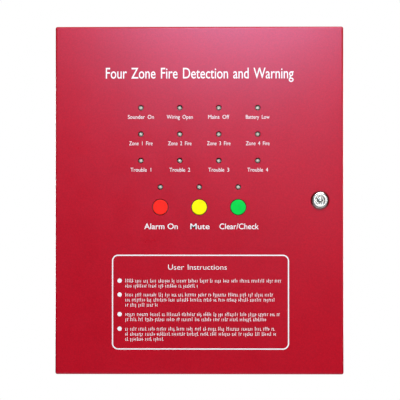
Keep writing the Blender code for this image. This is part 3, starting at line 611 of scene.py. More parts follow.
def make_box():
    """The box, with the wall's keyholes and fixing holes, and a row of knockouts along its top."""
    wall_y = BOX_HIGH.y - SHEET
    bm = bmesh.new()
    for x in (-KEYHOLE_X, KEYHOLE_X):
        turned(bm, drum(KEYHOLE_RADIUS, 0.006), (x, PAST, KEYHOLE_Z))
    heads = scratch("keyhole_heads", bm)
    bm = bmesh.new()
    half = KEYHOLE_SLOT / 2
    for x in (-KEYHOLE_X, KEYHOLE_X):
        box_between(bm, (x - half, wall_y - 0.003, KEYHOLE_Z), (x + half, PAST, KEYHOLE_TOP_Z), 0.0008)
    slots = scratch("keyhole_slots", bm)
    holes = [(-KEYHOLE_X, FIXING_Z), (KEYHOLE_X, FIXING_Z)]
    fixings = rods("fixing_holes", holes, FIXING_RADIUS, wall_y - PAST, PAST, 40)
    bm = bmesh.new()
    inner = KNOCKOUT_RADIUS - GROOVE_WIDTH
    groove = [(inner, 0), (KNOCKOUT_RADIUS, 0), (KNOCKOUT_RADIUS, PAST), (inner, PAST)]
    for x in KNOCKOUT_XS:
        turned(bm, groove, (x, KNOCKOUT_Y, BOX_HIGH.z - GROOVE_DEPTH), UP, 56)
    knockouts = scratch("knockout_rings", bm)
    box = cut(pan("box_skin", BOX_LOW, BOX_HIGH, True, BOX_LIP), heads, slots, fixings, knockouts)
    soften(dress(box, "red_paint", "enclosure", ["back_box"]), PAINTED_EDGE)
    tip_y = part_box("main_nut_1")[0].y - STUD_PROUD
    make_studs("box_studs", "main", wall_y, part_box("main_board")[1].y, tip_y, "enclosure")


def legend(bm, text, at, size, bold=0.0, word_gap=1.0):
    """Adds text to a bmesh on the door's face, centred on an (x, z), with a (cap height, width)."""
    curve = bpy.data.curves.new("legend", "FONT")
    curve.body = text
    curve.offset = bold
    curve.resolution_u = 4
    curve.space_word = word_gap
    obj = link(bpy.data.objects.new("legend", curve))
    mesh = bpy.data.meshes.new_from_object(obj.evaluated_get(bpy.context.evaluated_depsgraph_get()))
    bpy.data.objects.remove(obj)
    (x, z), (caps, width) = at, size
    left = min(vert.co.x for vert in mesh.vertices)
    right = max(vert.co.x for vert in mesh.vertices)
    spread, rise = width / (right - left), caps / CAPS_PER_SIZE
    middle = (left + right) / 2
    for vert in mesh.vertices:
        flat_z = vert.co.y * rise - caps / 2
        vert.co = Vector((x + (vert.co.x - middle) * spread, PRINT_Y, z + flat_z))
    bm.from_mesh(mesh)
    bpy.data.meshes.remove(mesh)


def ink_piece(name, bm):
    """Flat printing, raised to the thickness of the ink."""
    bmesh.ops.remove_doubles(bm, verts=bm.verts, dist=1e-7)
    bm.normal_update()
    for face in bm.faces:
        if face.normal.y > 0:
            face.normal_flip()
    raised = bmesh.ops.extrude_face_region(bm, geom=list(bm.faces))["geom"]
    tops = [item for item in raised if isinstance(item, bmesh.types.BMVert)]
    bmesh.ops.translate(bm, vec=(0, -INK, 0), verts=tops)
    bmesh.ops.recalc_face_normals(bm, faces=bm.faces)
    piece(name, bm, "white_ink", "door")


def make_legends():
    bm = bmesh.new()
    legend(bm, TITLE, TITLE_AT, TITLE_SIZE, 0.004, 1.35)
    ink_piece("title_print", bm)
    bm = bmesh.new()
    for name, (words, width) in LAMP_LEGENDS.items():
        x, z = place(name)
        legend(bm, words, (x, z - LAMP_LEGEND_DROP), (LAMP_LEGEND_CAPS, width), 0.0, LAMP_WORD_GAP)
    ink_piece("lamp_print", bm)
    bm = bmesh.new()
    for name, (words, width, shift) in BUTTON_LEGENDS.items():
        x, z = place(name)
        legend(bm, words, (x + shift, z - BUTTON_LEGEND_DROP), (BUTTON_LEGEND_CAPS, width), 0.006)
    ink_piece("button_print", bm)


def ribbon(bm, points, width, y, closed=False):
    """A flat strip along a line of (x, z) points, and its faces."""
    count = len(points)
    sides = []
    for index, point in enumerate(points):
        before = points[index - 1] if index or closed else point
        after = points[(index + 1) % count] if index < count - 1 or closed else point
        along = (Vector(after) - Vector(before)).normalized()
        across = Vector((-along.y, along.x)) * width / 2
        ends = (Vector(point) + across, Vector(point) - across)
        sides.append([bm.verts.new((end.x, y, end.y)) for end in ends])
    faces = []
    for index in range(count if closed else count - 1):
        a, b = sides[index], sides[(index + 1) % count]
        faces.append(bm.faces.new([a[0], b[0], b[1], a[1]]))
    return faces


def rounded_frame(x, z, width, height, radius, steps=8):
    """Points round a rectangle with rounded corners."""
    points = []
    for turn, (sx, sz) in enumerate([(1, 1), (-1, 1), (-1, -1), (1, -1)]):
        middle = Vector((x + sx * (width / 2 - radius), z + sz * (height / 2 - radius)))
        for step in range(steps + 1):
            angle = math.pi / 2 * (turn + step / steps)
            points.append(tuple(middle + Vector((math.cos(angle), math.sin(angle))) * radius))
    return points


def make_guide():
    """The outlined guide: a heading, and paragraphs of plain strokes that stand for small print."""
    bm = bmesh.new()
    middle_z = (GUIDE_TOP_Z + GUIDE_BOTTOM_Z) / 2
    width, height = GUIDE_WIDTH - GUIDE_LINE, GUIDE_TOP_Z - GUIDE_BOTTOM_Z - GUIDE_LINE
    outline = rounded_frame(GUIDE_X, middle_z, width, height, GUIDE_CORNER - GUIDE_LINE / 2)
    ribbon(bm, outline, GUIDE_LINE, PRINT_Y, True)
    for z, _ in GUIDE_PARAGRAPHS:
        ring = []
        for step in range(BULLET_STEPS):
            angle = step / (BULLET_STEPS / 2) * math.pi
            x = BULLET_X + BULLET_RADIUS * math.cos(angle)
            ring.append(bm.verts.new((x, PRINT_Y, z + BULLET_RADIUS * math.sin(angle))))
        bm.faces.new(ring)
    ink_piece("guide_frame_print", bm)
    bm = bmesh.new()
    legend(bm, GUIDE_HEADING, GUIDE_HEADING_AT, GUIDE_HEADING_SIZE, -0.006, 1.3)
    ink_piece("guide_heading_print", bm)
    bm = bmesh.new()
    chance = random.Random(5)
    for first_z, lines in GUIDE_PARAGRAPHS:
        for row, length in enumerate(lines):
            small_print(bm, STROKES_X, first_z - row * LINE_PITCH, length, chance)
    ink_piece("guide_small_print", bm)


def small_print(bm, x, z, length, chance):
    """A line of strokes in groups, like words seen from too far away to read."""
    tall_from, deep_below, crossed_below = 0.72, 0.08, 0.62
    low_z = z - STROKE_CAPS * 0.5
    at, end = x, x + length
    while at < end:
        room = int((end - at) / STROKE_PITCH) + 1
        for _ in range(min(chance.choice(WORD_LENGTHS), room)):
            reach = chance.random()
            top_z = low_z + STROKE_CAPS * (1.0 if reach > tall_from else 0.72)
            foot_z = low_z - (STROKE_CAPS * 0.26 if reach < deep_below else 0)
            ribbon(bm, [(at, foot_z), (at, top_z)], STROKE_WIDTH, PRINT_Y)
            if chance.random() < crossed_below:
                level = low_z + STROKE_CAPS * chance.choice(CROSS_LEVELS)
                cross = [(at + STROKE_WIDTH / 2, level), (at + STROKE_PITCH * 0.62, level)]
                ribbon(bm, cross, STROKE_WIDTH * 0.9, PRINT_Y)
            at += STROKE_PITCH
        at += STROKE_PITCH * 0.9


# --- Lamps, buttons and lock ---


def make_lamp(name):
    """A clear lamp: the dome and its rim, and inside it the two posts of the lead frame with their cup."""
    low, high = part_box(name)
    x, z = place(name)
    rim = (high.x - low.x) / 2
    bm = bmesh.new()
    profile = [(0, 0), (rim, 0), (rim, 0.0009), (LAMP_RADIUS, 0.0011)]
    turned(bm, profile + dome(LAMP_RADIUS, high.y - low.y), (x, high.y, z), steps=32)
    piece(name + "_lens", bm, "lamp_clear", "door", [name])
    bm = bmesh.new()
    foot_y, cup_y, post_y = high.y - 0.0005, high.y - 0.005, high.y - 0.0046
    box_between(bm, (x - 0.0013, cup_y, z - 0.0004), (x - 0.0001, foot_y, z + 0.0004), 0.0001)
    box_between(bm, (x + 0.0005, post_y, z - 0.0003), (x + 0.0012, foot_y, z + 0.0003), 0.0001)
    cup = [(0, 0), (0.0009, 0), (0.0012, 0.0007), (0.001, 0.0007), (0.0006, 0.0003), (0, 0.0003)]
    turned(bm, cup, (x - 0.0004, cup_y, z), steps=20)
    piece(name + "_frame", bm, ZINC, "door")


def make_button(name):
    """A button's coloured cap with its soft front edge, on a black plunger with a collar."""
    low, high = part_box(name)
    x, z = place(name)
    length, collar = high.y - low.y, (high.x - low.x) / 2
    body = name.removeprefix("button_") + "_button"
    bm = bmesh.new()
    plunger = [(0, 0), (STEM_RADIUS, 0), (STEM_RADIUS, COLLAR_START), (collar, COLLAR_START)]
    turned(bm, plunger + [(collar, COLLAR_END), (0, COLLAR_END)], (x, high.y, z), steps=72)
    piece(name + "_plunger", bm, BLACK, body)
    bm = bmesh.new()
    radius = BUTTON_RADIUS
    cap = [(0, COLLAR_END), (radius, COLLAR_END), (radius, length), (radius * 0.5, length)]
    turned(bm, rounded(cap, 0.0006, 5) + [(0, length)], (x, high.y, z), steps=72)
    piece(name + "_cap", bm, BUTTON_FINISH[name], body, [name])


def make_switch(name):
    """A tactile switch: a black body, and its steel cover with four corner rivets and four legs."""
    low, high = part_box(name)
    x, z = place(name)
    cover_y, inset, rivet = low.y + 0.0006, 0.0003, 0.0046
    bm = bmesh.new()
    box_between(bm, (low.x, cover_y, low.z), high, 0.0005)
    piece(name + "_body", bm, BLACK, "door", [name])
    bm = bmesh.new()
    near = (low.x + inset, low.y + inset, low.z + inset)
    box_between(bm, near, (high.x - inset, low.y + 0.0007, high.z - inset), 0.0001)
    for sx, sz in CORNERS:
        turned(bm, dome(0.0006, 0.0006, 4), (x + sx * rivet, cover_y, z + sz * rivet), steps=12)
        leg_x, leg_z = x + sx * SWITCH_LEG_X, z + sz * SWITCH_LEG_Z
        block(bm, leg_x, leg_z, 0.0004, 0.0008, high.y - 0.002, high.y + 0.0003, 0.0001)
    piece(name + "_cover", bm, ZINC, "door")


def lock_place(height):
    """The point on the lock's axis, a height forward of its rear."""
    return (LOCK_AXIS.x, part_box("lock_housing")[1].y - height, LOCK_AXIS.z)


def make_lock():
    """The lock's barrel and head, its sloping bezel, and its plug with a post and a ring of pins."""
    low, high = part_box("lock_housing")
    front = high.y - low.y
    head = (high.x - low.x) / 2
    seat = high.y - FACE_Y + 0.0003
    edge = 0.0002
    rim = LOCK_FACE - edge
    keyway_end = front - KEYWAY_DEPTH
    profile = [(KEYWAY_OUTER, front - edge), (KEYWAY_OUTER + 0.0003, front), (rim - 0.0003, front)]
    profile += [(rim, front - edge), (rim, seat), (BARREL_RADIUS, seat)]
    profile += thread(BARREL_RADIUS, BARREL_RADIUS - 0.00045, seat - 0.0012, 0.0012, -0.0008)[0]
    profile += [(BARREL_RADIUS - 0.0004, 0.0004), (BARREL_RADIUS - 0.0006, 0), (BARREL_BORE, 0)]
    profile += [(BARREL_BORE, keyway_end), (KEYWAY_OUTER, keyway_end)]
    bm = bmesh.new()
    turned(bm, profile, lock_place(0), steps=72)
    barrel = scratch("lock_barrel", bm)
    bm = bmesh.new()
    x, y, z = lock_place(front)
    near = (x - KEYWAY_OUTER - 0.0011, y - 0.001, z - 0.0007)
    box_between(bm, near, (x - KEYWAY_OUTER + 0.0006, y + 0.0022, z + 0.0007), 0.0001)
    notch = scratch("lock_notch", bm)
    flat_light(dress(cut(barrel, notch), "chrome", "door", ["lock_housing"]))
    bm = bmesh.new()
    slope = [(rim, front - edge), (rim + 0.0002, front - 0.0003), (head - 0.0001, seat + 0.0002)]
    turned(bm, slope + [(head, seat), (rim, seat)], lock_place(0), steps=72)
    # The bezel is in darkened chrome: painted shade that stands in for the dark reflection in its slope
    piece("lock_bezel", bm, "shade_painted_chrome", "door")

    plug_low, plug_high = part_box("lock_plug")
    post = high.y - plug_low.y
    floor = post - KEYWAY_DEPTH
    bm = bmesh.new()
    plug = [(0, post), (KEYWAY_INNER, post), (KEYWAY_INNER, floor), (0.0054, floor), (0.0054, 0)]
    turned(bm, rounded(plug, 0.0003) + [(0, 0)], lock_place(0), steps=64)
    block(bm, x, z, 0.005, 0.005, high.y - 0.001, plug_high.y)
    piece("lock_core", bm, "chrome", "lock", ["lock_plug"])
    bm = bmesh.new()
    ring = (KEYWAY_INNER + KEYWAY_OUTER) / 2
    for index in range(KEYWAY_PINS):
        angle = math.radians(-135 + index * 45)
        at = Vector(lock_place(floor)) + Vector((math.cos(angle), 0, math.sin(angle))) * ring
        turned(bm, [(0, 0), (0.00085, 0), (0.00085, 0.0053), (0.0006, 0.0056), (0, 0.0056)], at, steps=16)
    piece("lock_pins", bm, "chrome", "lock")


def make_lock_rear():
    """The screw that holds the lock's cam."""
    at = (LOCK_AXIS.x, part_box("lock_screw")[1].y - 0.002, LOCK_AXIS.z)
    bm = bmesh.new()
    pan_head(bm, at, 0.004, REAR)
    turned(bm, drum(0.0013, 0.006), at, steps=16)
    piece("lock_rear_screw", bm, ZINC, "lock", ["lock_screw"])


# --- Boards ---


RESISTOR_OUTLINE = [
    (0, 0), (0.0011, 0), (0.0011, 0.0012), (0.0009, 0.0016),
    (0.0009, 0.0044), (0.0011, 0.0048), (0.0011, 0.006), (0, 0.006),
]


def laid(along, across, upright):
    """Two lengths as (x, z), for a part whose length lies along X, or along Z where it is upright."""
    return (across, along) if upright else (along, across)


class Board:
    """Lays parts on one side of a circuit board: way is -1 where that side faces the front, or 1."""

    def __init__(self, node, body, way, seed):
        self.low, self.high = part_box(node)
        self.name, self.body, self.way = node, body, way
        self.y = self.low.y if way < 0 else self.high.y
        self.chance = random.Random(seed)
        self.sets = {}

    def mesh(self, kind, slot):
        return self.sets.setdefault((kind, slot), bmesh.new())

    def box(self, kind, slot, x, z, width, depth, start, end, radius=0.0002):
        """A rounded block centred on (x, z), between two heights above the board."""
        near, far = sorted((self.y + self.way * start, self.y + self.way * end))
        block(self.mesh(kind, slot), x, z, width, depth, near, far, radius)

    def leg(self, x, z, width, depth, start, end):
        self.box("legs", ZINC, x, z, width, depth, start, end, 0.0001)

    def turn(self, kind, slot, x, z, profile, steps, start=0.0):
        turned(self.mesh(kind, slot), profile, (x, self.y + self.way * start, z), (0, self.way, 0), steps)

    def chip(self, x, z, pins, upright=False, wide=0.0064):
        """A dual in-line chip with its legs."""
        length = pins / 2 * PIN_PITCH
        self.box("chips", BLACK, x, z, *laid(length, wide, upright), 0.0006, 0.004, 0.0003)
        for pin in range(pins // 2):
            along = (pin + 0.5) * PIN_PITCH - length / 2
            for side in (-1, 1):
                leg_x, leg_z = laid(along, side * (wide / 2 + 0.0005), upright)
                self.leg(x + leg_x, z + leg_z, *laid(0.0009, 0.0006, upright), 0.0, 0.0022)

    def resistor(self, x, z, upright=False, slot="resistor_tan"):
        """A resistor with a waisted body, and its wire bent down to two joints."""
        axis = Vector((0, 0, 1)) if upright else Vector((1, 0, 0))
        at = Vector((x, self.y + self.way * 0.0014, z))
        outline = rounded(RESISTOR_OUTLINE, 0.0003)
        turned(self.mesh("resistors", slot), outline, at - axis * 0.003, axis, 16)
        turned(self.mesh("leads", ZINC), drum(0.0003, 0.01), at - axis * 0.005, axis, 8)
        for side in (-1, 1):
            foot = at + axis * 0.005 * side
            bend = [(0, 0), (0.0006, 0), (0.0003, 0.0005), (0.0003, 0.0016), (0, 0.0017)]
            self.turn("leads", ZINC, foot.x, foot.z, bend, 8)

    def can(self, x, z, radius, height, slot=BLACK):
        """An upright electrolytic capacitor: the sleeve with its groove, and the scored top of its can."""
        waist, rim, top = radius * 0.94, radius * 0.84, height - 0.0003
        profile = [(0, 0), (radius, 0), (radius, height * 0.1), (waist, height * 0.15)]
        profile += [(radius, height * 0.2), (radius, height), (rim, height), (rim, top), (0, top)]
        self.turn("cans", slot, x, z, rounded(profile, 0.0004), 32, 0.0003)
        self.turn("can_tops", "aluminium", x, z, drum(radius * 0.82, 0.0002), 32, height + 0.0001)
        for size in ((radius * 1.1, 0.0003), (0.0003, radius * 1.1)):
            self.box("can_tops", "aluminium", x, z, *size, height, height + 0.0004, 0.0001)

    def header(self, x, z, ways, upright=False, slot="white_plastic"):
        """A shrouded wire-to-board header, with its pins."""
        length, width, wall = ways * PIN_PITCH + 0.0024, 0.0058, 0.0011
        self.box("headers", slot, x, z, *laid(length, width, upright), 0.0002, 0.003, 0.0004)
        for side in (-1, 1):
            wall_x, wall_z = laid(0, side * (width / 2 - wall / 2), upright)
            size = laid(length, wall, upright)
            self.box("headers", slot, x + wall_x, z + wall_z, *size, 0.0026, 0.0085, 0.0003)
        for pin in range(ways):
            pin_x, pin_z = laid((pin + 0.5 - ways / 2) * PIN_PITCH, 0, upright)
            self.leg(x + pin_x, z + pin_z, 0.0006, 0.0006, 0.0028, 0.008)

    def joint(self, x, z, radius=0.0009):
        """A soldered joint with the end of a lead standing in it."""
        cone = [(0, 0), (radius, 0), (radius * 0.55, radius * 0.5), (radius * 0.35, radius)]
        self.turn("joints", "solder", x, z, cone + [(0, radius * 1.05)], 12)

    def tracks(self, count):
        """Copper tracks under the mask: lines that run straight and turn at 45 degrees."""
        bm = self.mesh("tracks", "masked_copper")
        inset, border = 0.006, 0.002
        for index in range(count):
            x = self.chance.uniform(self.low.x + inset, self.high.x - inset)
            z = self.chance.uniform(self.low.z + inset, self.high.z - inset)
            points, heading = [(x, z)], self.chance.choice((0, 2, 4, 6))
            for _ in range(self.chance.choice((2, 3, 4))):
                reach = self.chance.uniform(0.006, 0.03) * (0.25 if heading % 2 else 1)
                angle = heading * math.pi / 4
                x = min(max(x + reach * math.cos(angle), self.low.x + border), self.high.x - border)
                z = min(max(z + reach * math.sin(angle), self.low.z + border), self.high.z - border)
                if (Vector((x, z)) - Vector(points[-1])).length > 0.001:
                    points.append((x, z))
                heading = (heading + self.chance.choice((-1, 1))) % 8
            if len(points) > 1:
                width = self.chance.choice((0.0005, 0.0005, 0.0009))
                level = 0.00004 + index * 2e-7
                for face in ribbon(bm, points, width, self.y + self.way * level):
                    face.normal_update()
                    if face.normal.y * self.way < 0:
                        face.normal_flip()

    def finish(self):
        for (kind, slot), bm in self.sets.items():
            piece(f"{self.name}_{kind}", bm, slot, self.body)


def make_display_parts():
    """The rear of the display board: the joints of the lamps and switches, and its own parts."""
    board = Board("display_board", "door", 1, 11)
    board.tracks(150)
    for x, z in map(place, LAMPS):
        for side in (-1, 1):
            board.joint(x + side * LAMP_LEAD, z)
    for x, z in map(place, BUTTONS):
        for sx, sz in CORNERS:
            board.joint(x + sx * SWITCH_LEG_X, z + sz * SWITCH_LEG_Z)
    for z, resistors_z in ((0.08, 0.0885), (0.0535, 0.06)):
        board.chip(0.0, z, 20)
        board.chip(-0.039, z, 16)
        for index in range(5):
            board.resistor(0.03, resistors_z - index * 0.004)
    board.chip(0.039, 0.0265, 16)
    board.chip(0.0, 0.027, 16)
    for index in range(6):
        board.resistor(-0.05 + index * 0.0045, 0.0285, True, "resistor_blue")
    for x in (-0.018, 0.018, 0.055):
        board.can(x, -0.016, 0.0025, 0.0062)
    board.header(0.06, 0.052, 3, True)
    board.finish()


def make_main_parts():
    """The front of the main board."""
    board = Board("main_board", "enclosure", -1, 23)
    board.tracks(230)
    board.chip(-0.022, 0.0955, 40, wide=0.014)
    for z in (0.12, 0.106, 0.092):
        board.chip(-0.063, z, 16)
    board.chip(0.014, 0.118, 14, upright=True)
    board.can(0.0, 0.056, 0.008, 0.016)
    board.can(0.02, 0.056, 0.0065, 0.014)
    for x, z in ((0.036, 0.086), (0.05, 0.086), (0.064, 0.086), (-0.043, 0.112), (-0.043, 0.124)):
        board.can(x, z, 0.0026, 0.0066)
    for index in range(12):
        slot = "resistor_tan" if index % 3 else "resistor_blue"
        board.resistor(-0.03 + index * 0.0052, 0.132, True, slot)
    for index in range(7):
        board.resistor(0.04, 0.044 + index * 0.005)
        board.resistor(0.078, 0.09 + index * 0.005, slot="resistor_blue")
    for index in range(5):
        board.resistor(-0.081, 0.072 + index * 0.0062)
    for x, z, ways in ((0.061, 0.044, 4), (0.061, 0.056, 2), (-0.052, 0.076, 12)):
        board.header(x, z, ways)
    board.header(0.08, 0.06, 3, upright=True)
    board.box("crystal", ZINC, 0.012, 0.0945, 0.0105, 0.0044, 0.0003, 0.0038, 0.001)
    board.box("trimmers", "blue_plastic", 0.024, 0.076, 0.0095, 0.0048, 0.0003, 0.01, 0.0003)
    board.turn("trimmer_screws", "brass", 0.0275, 0.076, drum(0.0011, 0.0008), 16, 0.01)
    board.box("regulator", BLACK, -0.04, 0.0408, 0.01, 0.0042, 0.003, 0.0125, 0.0003)
    board.box("regulator_tab", ZINC, -0.04, 0.0426, 0.01, 0.0012, 0.004, 0.0158)
    for x in (-0.0425, -0.04, -0.0375):
        board.leg(x, 0.0408, 0.0008, 0.0006, 0.0, 0.0032)
    board.finish()


def make_terminals():
    """The row of field terminals: each way has a wire entry above and a screw in a well at the front."""
    low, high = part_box("field_terminals")
    pitch = (high.x - low.x) / FIELD_WAYS
    gap, inset, screw_y = 0.00004, 0.0009, low.y + 0.0026
    bm, screws = bmesh.new(), bmesh.new()
    for index in range(FIELD_WAYS):
        left = low.x + index * pitch
        near = Vector((left + gap, low.y, low.z))
        far = Vector((left + pitch - gap, high.y, high.z))
        faces = list(dict.fromkeys(face for vert in cube(bm, near, far) for face in vert.link_faces))
        front = min(faces, key=lambda face: face.calc_center_median().y)
        top = max(faces, key=lambda face: face.calc_center_median().z)
        for face, depth in ((front, (0, 0.003, 0)), (top, (0, 0, -0.005))):
            bmesh.ops.inset_individual(bm, faces=[face], thickness=inset)
            bmesh.ops.translate(bm, vec=depth, verts=list(face.verts))
        pan_head(screws, ((near.x + far.x) / 2, screw_y, (low.z + high.z) / 2), 0.0015)
    soften(piece("field_terminal_row", bm, "green_plastic", "enclosure", ["field_terminals"]), 0.00025)
    piece("field_terminal_screws", screws, ZINC, "enclosure")


def make_fuse():
    """The fuse holder's base and clips, with a glass fuse in them."""
    low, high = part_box("fuse_holder")
    z = (low.z + high.z) / 2
    fuse_y = low.y + 0.0034
    bm = bmesh.new()
    box_between(bm, (low.x, high.y - 0.003, low.z), high, 0.0005)
    piece("fuse_base", bm, BLACK, "enclosure", ["fuse_holder"])
    bm = bmesh.new()
    for x in (low.x + 0.0035, high.x - 0.0035):
        for side in (-1, 1):
            block(bm, x, z + side * 0.0031, 0.004, 0.0006, low.y + 0.0006, high.y - 0.0026, 0.0002)
        block(bm, x, z, 0.004, 0.0062, high.y - 0.0036, high.y - 0.0029, 0.0002)
    piece("fuse_clips", bm, "brass", "enclosure")
    bm = bmesh.new()
    for x, way in ((low.x + 0.001, 1), (high.x - 0.001, -1)):
        turned(bm, rounded(drum(0.0026, 0.0055), 0.0003), (x, fuse_y, z), (way, 0, 0), 28)
    piece("fuse_caps", bm, ZINC, "enclosure")
    bm = bmesh.new()
    turned(bm, drum(0.0024, 0.01), (low.x + 0.006, fuse_y, z), (1, 0, 0), 28)
    piece("fuse_glass", bm, "glass", "enclosure")


def make_relay(name):
    """A sealed relay: a cover with soft edges, its foot, and the raised mark that shows pin 1."""
    low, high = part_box(name)
    inset, cover_y = 0.0004, low.y + 0.0002
    bm = bmesh.new()
    near = (low.x + inset, cover_y, low.z + inset)
    box_between(bm, near, (high.x - inset, high.y - 0.0012, high.z - inset), 0.0011, 4)
    box_between(bm, (low.x, high.y - 0.0018, low.z), high)
    mark = [(0, 0), (0.0011, 0), (0.001, 0.0002), (0, 0.0002)]
    turned(bm, mark, (low.x + 0.0028, cover_y, high.z - 0.003), steps=20)
    piece(name + "_cover", bm, "blue_plastic", "enclosure", [name])


# --- Power parts ---


def make_battery(name):
    """A sealed battery: the ribbed case, its lid with vents, and two tabs standing in coloured rings."""
    low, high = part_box(name)
    x = (low.x + high.x) / 2
    top_z = high.z - TAB_HEIGHT
    lid_z = top_z - LID_HEIGHT
    seam = 0.0009
    bm = bmesh.new()
    box_between(bm, (low.x, low.y + 0.0006, low.z), (high.x, high.y, lid_z - 0.0004), 0.0014, 3)
    near = (low.x + seam, low.y + seam, lid_z - 0.0014)
    box_between(bm, near, (high.x - seam, high.y - seam, lid_z + 0.001), 0.0004)
    box_between(bm, (low.x, low.y, lid_z), (high.x, high.y, top_z - 0.0012), 0.0011, 3)
    near = (low.x + 0.004, low.y + 0.026, top_z - 0.003)
    box_between(bm, near, (high.x - 0.004, high.y - 0.004, top_z), 0.0006)
    for step in range(BATTERY_RIBS):
        rib_x = low.x + 0.011 + step * (high.x - low.x - 0.022) / (BATTERY_RIBS - 1)
        near = (rib_x - 0.0012, low.y, low.z + 0.006)
        box_between(bm, near, (rib_x + 0.0012, low.y + 0.0016, low.z + 0.03), 0.0005)
    near = (x - 0.03, low.y + 0.0003, lid_z - 0.024)
    box_between(bm, near, (x + 0.03, low.y + 0.0012, lid_z - 0.005), 0.0002)
    piece(name + "_case", bm, "grey_plastic", "enclosure", [name])
    bm = bmesh.new()
    vents_y = (low.y + high.y) / 2 - 0.004
    near = (x - 0.032, vents_y - 0.01, top_z - 0.0022)
    box_between(bm, near, (x + 0.032, vents_y - 0.001, top_z + 0.0002), 0.0004)
    for step in range(BATTERY_CELLS):
        at = (x - 0.0275 + step * 0.011, vents_y - 0.0055, top_z + 0.0001)
        turned(bm, rounded(drum(0.003, 0.0006), 0.0003), at, UP, 24)
    piece(name + "_vents", bm, BLACK, "enclosure")
    tabs = bmesh.new()
    tab_y = high.y - 0.01265
    ring = rounded([(0.003, 0), (0.0052, 0), (0.0052, 0.0012), (0.0034, 0.0012), (0.003, 0.0006)], 0.0003)
    for side, way, slot in ((-1, "left", "lead_red"), (1, "right", BLACK)):
        tab_x = x + side * TAB_OFFSET
        near = (tab_x - 0.0004, tab_y - 0.00235, top_z - 0.002)
        box_between(tabs, near, (tab_x + 0.0004, tab_y + 0.00235, high.z), 0.0002)
        bm = bmesh.new()
        turned(bm, ring, (tab_x, tab_y, top_z - 0.0004), UP, 32)
        piece(f"{name}_ring_{way}", bm, slot, "enclosure")
    piece(name + "_tabs", tabs, ZINC, "enclosure")


def make_power_parts():
    """Screws of the mains terminals and the straps, and the walls between the terminals."""
    low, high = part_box("mains_terminals")
    end_wall = 0.002
    first_x, ledge_y = low.x + end_wall, high.y - 0.011
    pitch = (high.x - low.x - 2 * end_wall) / MAINS_WAYS
    bm, walls = bmesh.new(), bmesh.new()
    for index in range(MAINS_WAYS):
        x = first_x + (index + 0.5) * pitch
        pan_head(bm, (x, low.y, low.z + 0.015), 0.003)
        pan_head(bm, (x, ledge_y, low.z + 0.0034), 0.0026)
    for index in range(MAINS_WAYS + 1):
        x = min(max(first_x + index * pitch, low.x + 0.0008), high.x - 0.0008)
        near = (x - 0.0007, low.y + 0.0003, low.z)
        box_between(walls, near, (x + 0.0007, high.y - 0.009, low.z + 0.0078))
    low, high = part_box("transformer_strap")
    for z in (low.z + 0.0045, high.z - 0.0045):
        pan_head(bm, ((low.x + high.x) / 2, high.y - SHEET, z), 0.0032)
    low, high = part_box("battery_strap")
    pan_head(bm, (high.x - 0.0065, high.y - SHEET, (low.z + high.z) / 2), 0.0036)
    piece("power_screws", bm, ZINC, "enclosure")
    piece("mains_terminal_walls", walls, BLACK, "enclosure")


def make_earth_terminal():
    """The earth bolt, and its two nuts."""
    low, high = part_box("earth_bolt")
    x, z = place("earth_bolt")
    length, head = high.y - low.y, (high.x - low.x) / 2
    bm = bmesh.new()
    bolt = rounded([(0, 0), (head, 0), (head, 0.0008), (0.0026, 0.0009)], 0.0002)
    bolt += thread(0.0025, 0.0022, 0.0012, length - 0.0008, 0.0006)[0]
    turned(bm, bolt + [(0.0018, length), (0, length)], (x, high.y, z), steps=24)
    nut = [(0.0026, 0), (0.0048, 0), (0.005, 0.0004), (0.005, 0.003), (0.0046, 0.0034), (0.0026, 0.0034)]
    for level in (0.001, 0.0046):
        turned(bm, rounded(nut, 0.0001), (x, high.y - level, z), steps=6)
    piece("earth_terminal", bm, "brass", "enclosure", ["earth_bolt"], 25.0)


# --- CAD pieces that carry over ---


def carry_over():
    """Gives every CAD node that is still shown its material, and rounds its edges."""
    slots = {part["node"]: part["material_slot"] for part in frame["record"]["subparts"]}
    for name, obj in frame["nodes"].items():
        if obj.hide_render:
            continue
        for holder in obj.material_slots:
            holder.material = MATERIALS[slots[name]]
        weld = obj.modifiers.new("weld", "WELD")
        weld.merge_threshold = 0.000005
        join = obj.modifiers.new("join", "DECIMATE")
        join.decimate_type = "DISSOLVE"
        join.angle_limit = math.radians(1)
        soften(obj, CAD_EDGES.get(name, CAD_EDGE), 2, 30.0)


# --- Stage ---


def area_light(name, location, target, size, power, color=(1, 1, 1)):
    light = bpy.data.lights.new(name, "AREA")
    light.shape = "RECTANGLE"
    light.size, light.size_y = size
    light.energy = power
    light.color = color
    obj = link(bpy.data.objects.new(name, light))
    obj.location = location
    obj.rotation_euler = (Vector(target) - Vector(location)).to_track_quat("-Z", "Y").to_euler()


def make_floor():
    bm = bmesh.new()
    bmesh.ops.create_circle(bm, cap_ends=True, radius=1.0, segments=96)
    floor = scratch("floor", bm)
    floor.location = (0, 0, FLOOR_Z)
    pale = Shader("pale_floor", roughness=0.7)
    pale.tones(pale.noise(6, 2), (0.8, 0.8, 0.8), (0.84, 0.84, 0.84))
    floor.data.materials.append(pale.material)


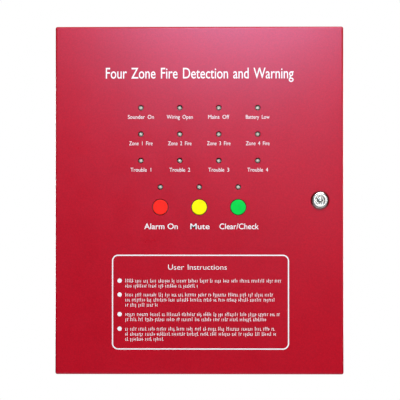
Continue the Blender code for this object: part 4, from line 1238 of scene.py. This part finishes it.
def make_world():
    """A white backdrop for the camera, and a dim, even fill for everything else."""
    world = bpy.data.worlds.new("studio")
    bpy.context.scene.world = world
    world.use_nodes = True
    nodes, links = world.node_tree.nodes, world.node_tree.links
    fill = nodes["Background"]
    fill.inputs["Color"].default_value = (0.9, 0.94, 1.0, 1)
    fill.inputs["Strength"].default_value = WORLD_FILL
    backdrop = nodes.new("ShaderNodeBackground")
    backdrop.inputs["Color"].default_value = (1, 1, 1, 1)
    ray = nodes.new("ShaderNodeLightPath")
    choose = nodes.new("ShaderNodeMixShader")
    links.new(ray.outputs["Is Camera Ray"], choose.inputs["Fac"])
    links.new(fill.outputs["Background"], choose.inputs[1])
    links.new(backdrop.outputs["Background"], choose.inputs[2])
    links.new(choose.outputs["Shader"], nodes["World Output"].inputs["Surface"])
    bpy.context.scene.view_settings.view_transform = "Standard"


def make_lights():
    """Softboxes above, below and for the sheen, a card for the lock, and two lights for the back."""
    face, upper = (0, FACE_Y, 0), (0.0, FACE_Y, 0.1)
    area_light("key_softbox", (0.48, -1.45, 1.68), face, (1.1, 0.8), KEY_POWER)
    area_light("low_fill", (-0.1, -1.5, -1.3), face, (1.6, 0.8), LOW_POWER)
    area_light("sheen_softbox", (0.07, -1.55, 0.6), upper, (0.42, 0.36), SHEEN_POWER, (0.78, 0.92, 1.1))
    area_light("lock_card", (0.235, -1.42, 0.03), LOCK_AXIS, (0.16, 0.16), CARD_POWER)
    for side in (-1, 1):
        area_light("rear_softbox", (side * 1.1, 1.35, 0.0), (0, 0, 0), (1.0, 0.6), REAR_POWER)


def make_camera():
    azimuth, elevation = math.radians(CAMERA_AZIMUTH), math.radians(CAMERA_ELEVATION)
    flat = math.cos(elevation)
    back = Vector((math.sin(azimuth) * flat, -math.cos(azimuth) * flat, math.sin(elevation)))
    camera = link(bpy.data.objects.new("camera", bpy.data.cameras.new("camera")))
    camera.data.lens = LENS
    camera.data.clip_start = 0.01
    camera.location = CAMERA_TARGET + back * CAMERA_DISTANCE
    camera.rotation_euler = (-back).to_track_quat("-Z", "Y").to_euler()
    bpy.context.scene.camera = camera


make_camera()
make_floor()
make_world()
make_lights()
make_door()
make_box()
make_legends()
make_guide()
for lamp in LAMPS:
    make_lamp(lamp)
for button in BUTTONS:
    make_button(button)
    make_switch(button.replace("button_", "switch_"))
make_lock()
make_lock_rear()
make_display_parts()
make_main_parts()
make_terminals()
make_fuse()
for relay in ("relay_1", "relay_2"):
    make_relay(relay)
for battery in ("battery_1", "battery_2"):
    make_battery(battery)
make_power_parts()
make_earth_terminal()
carry_over()
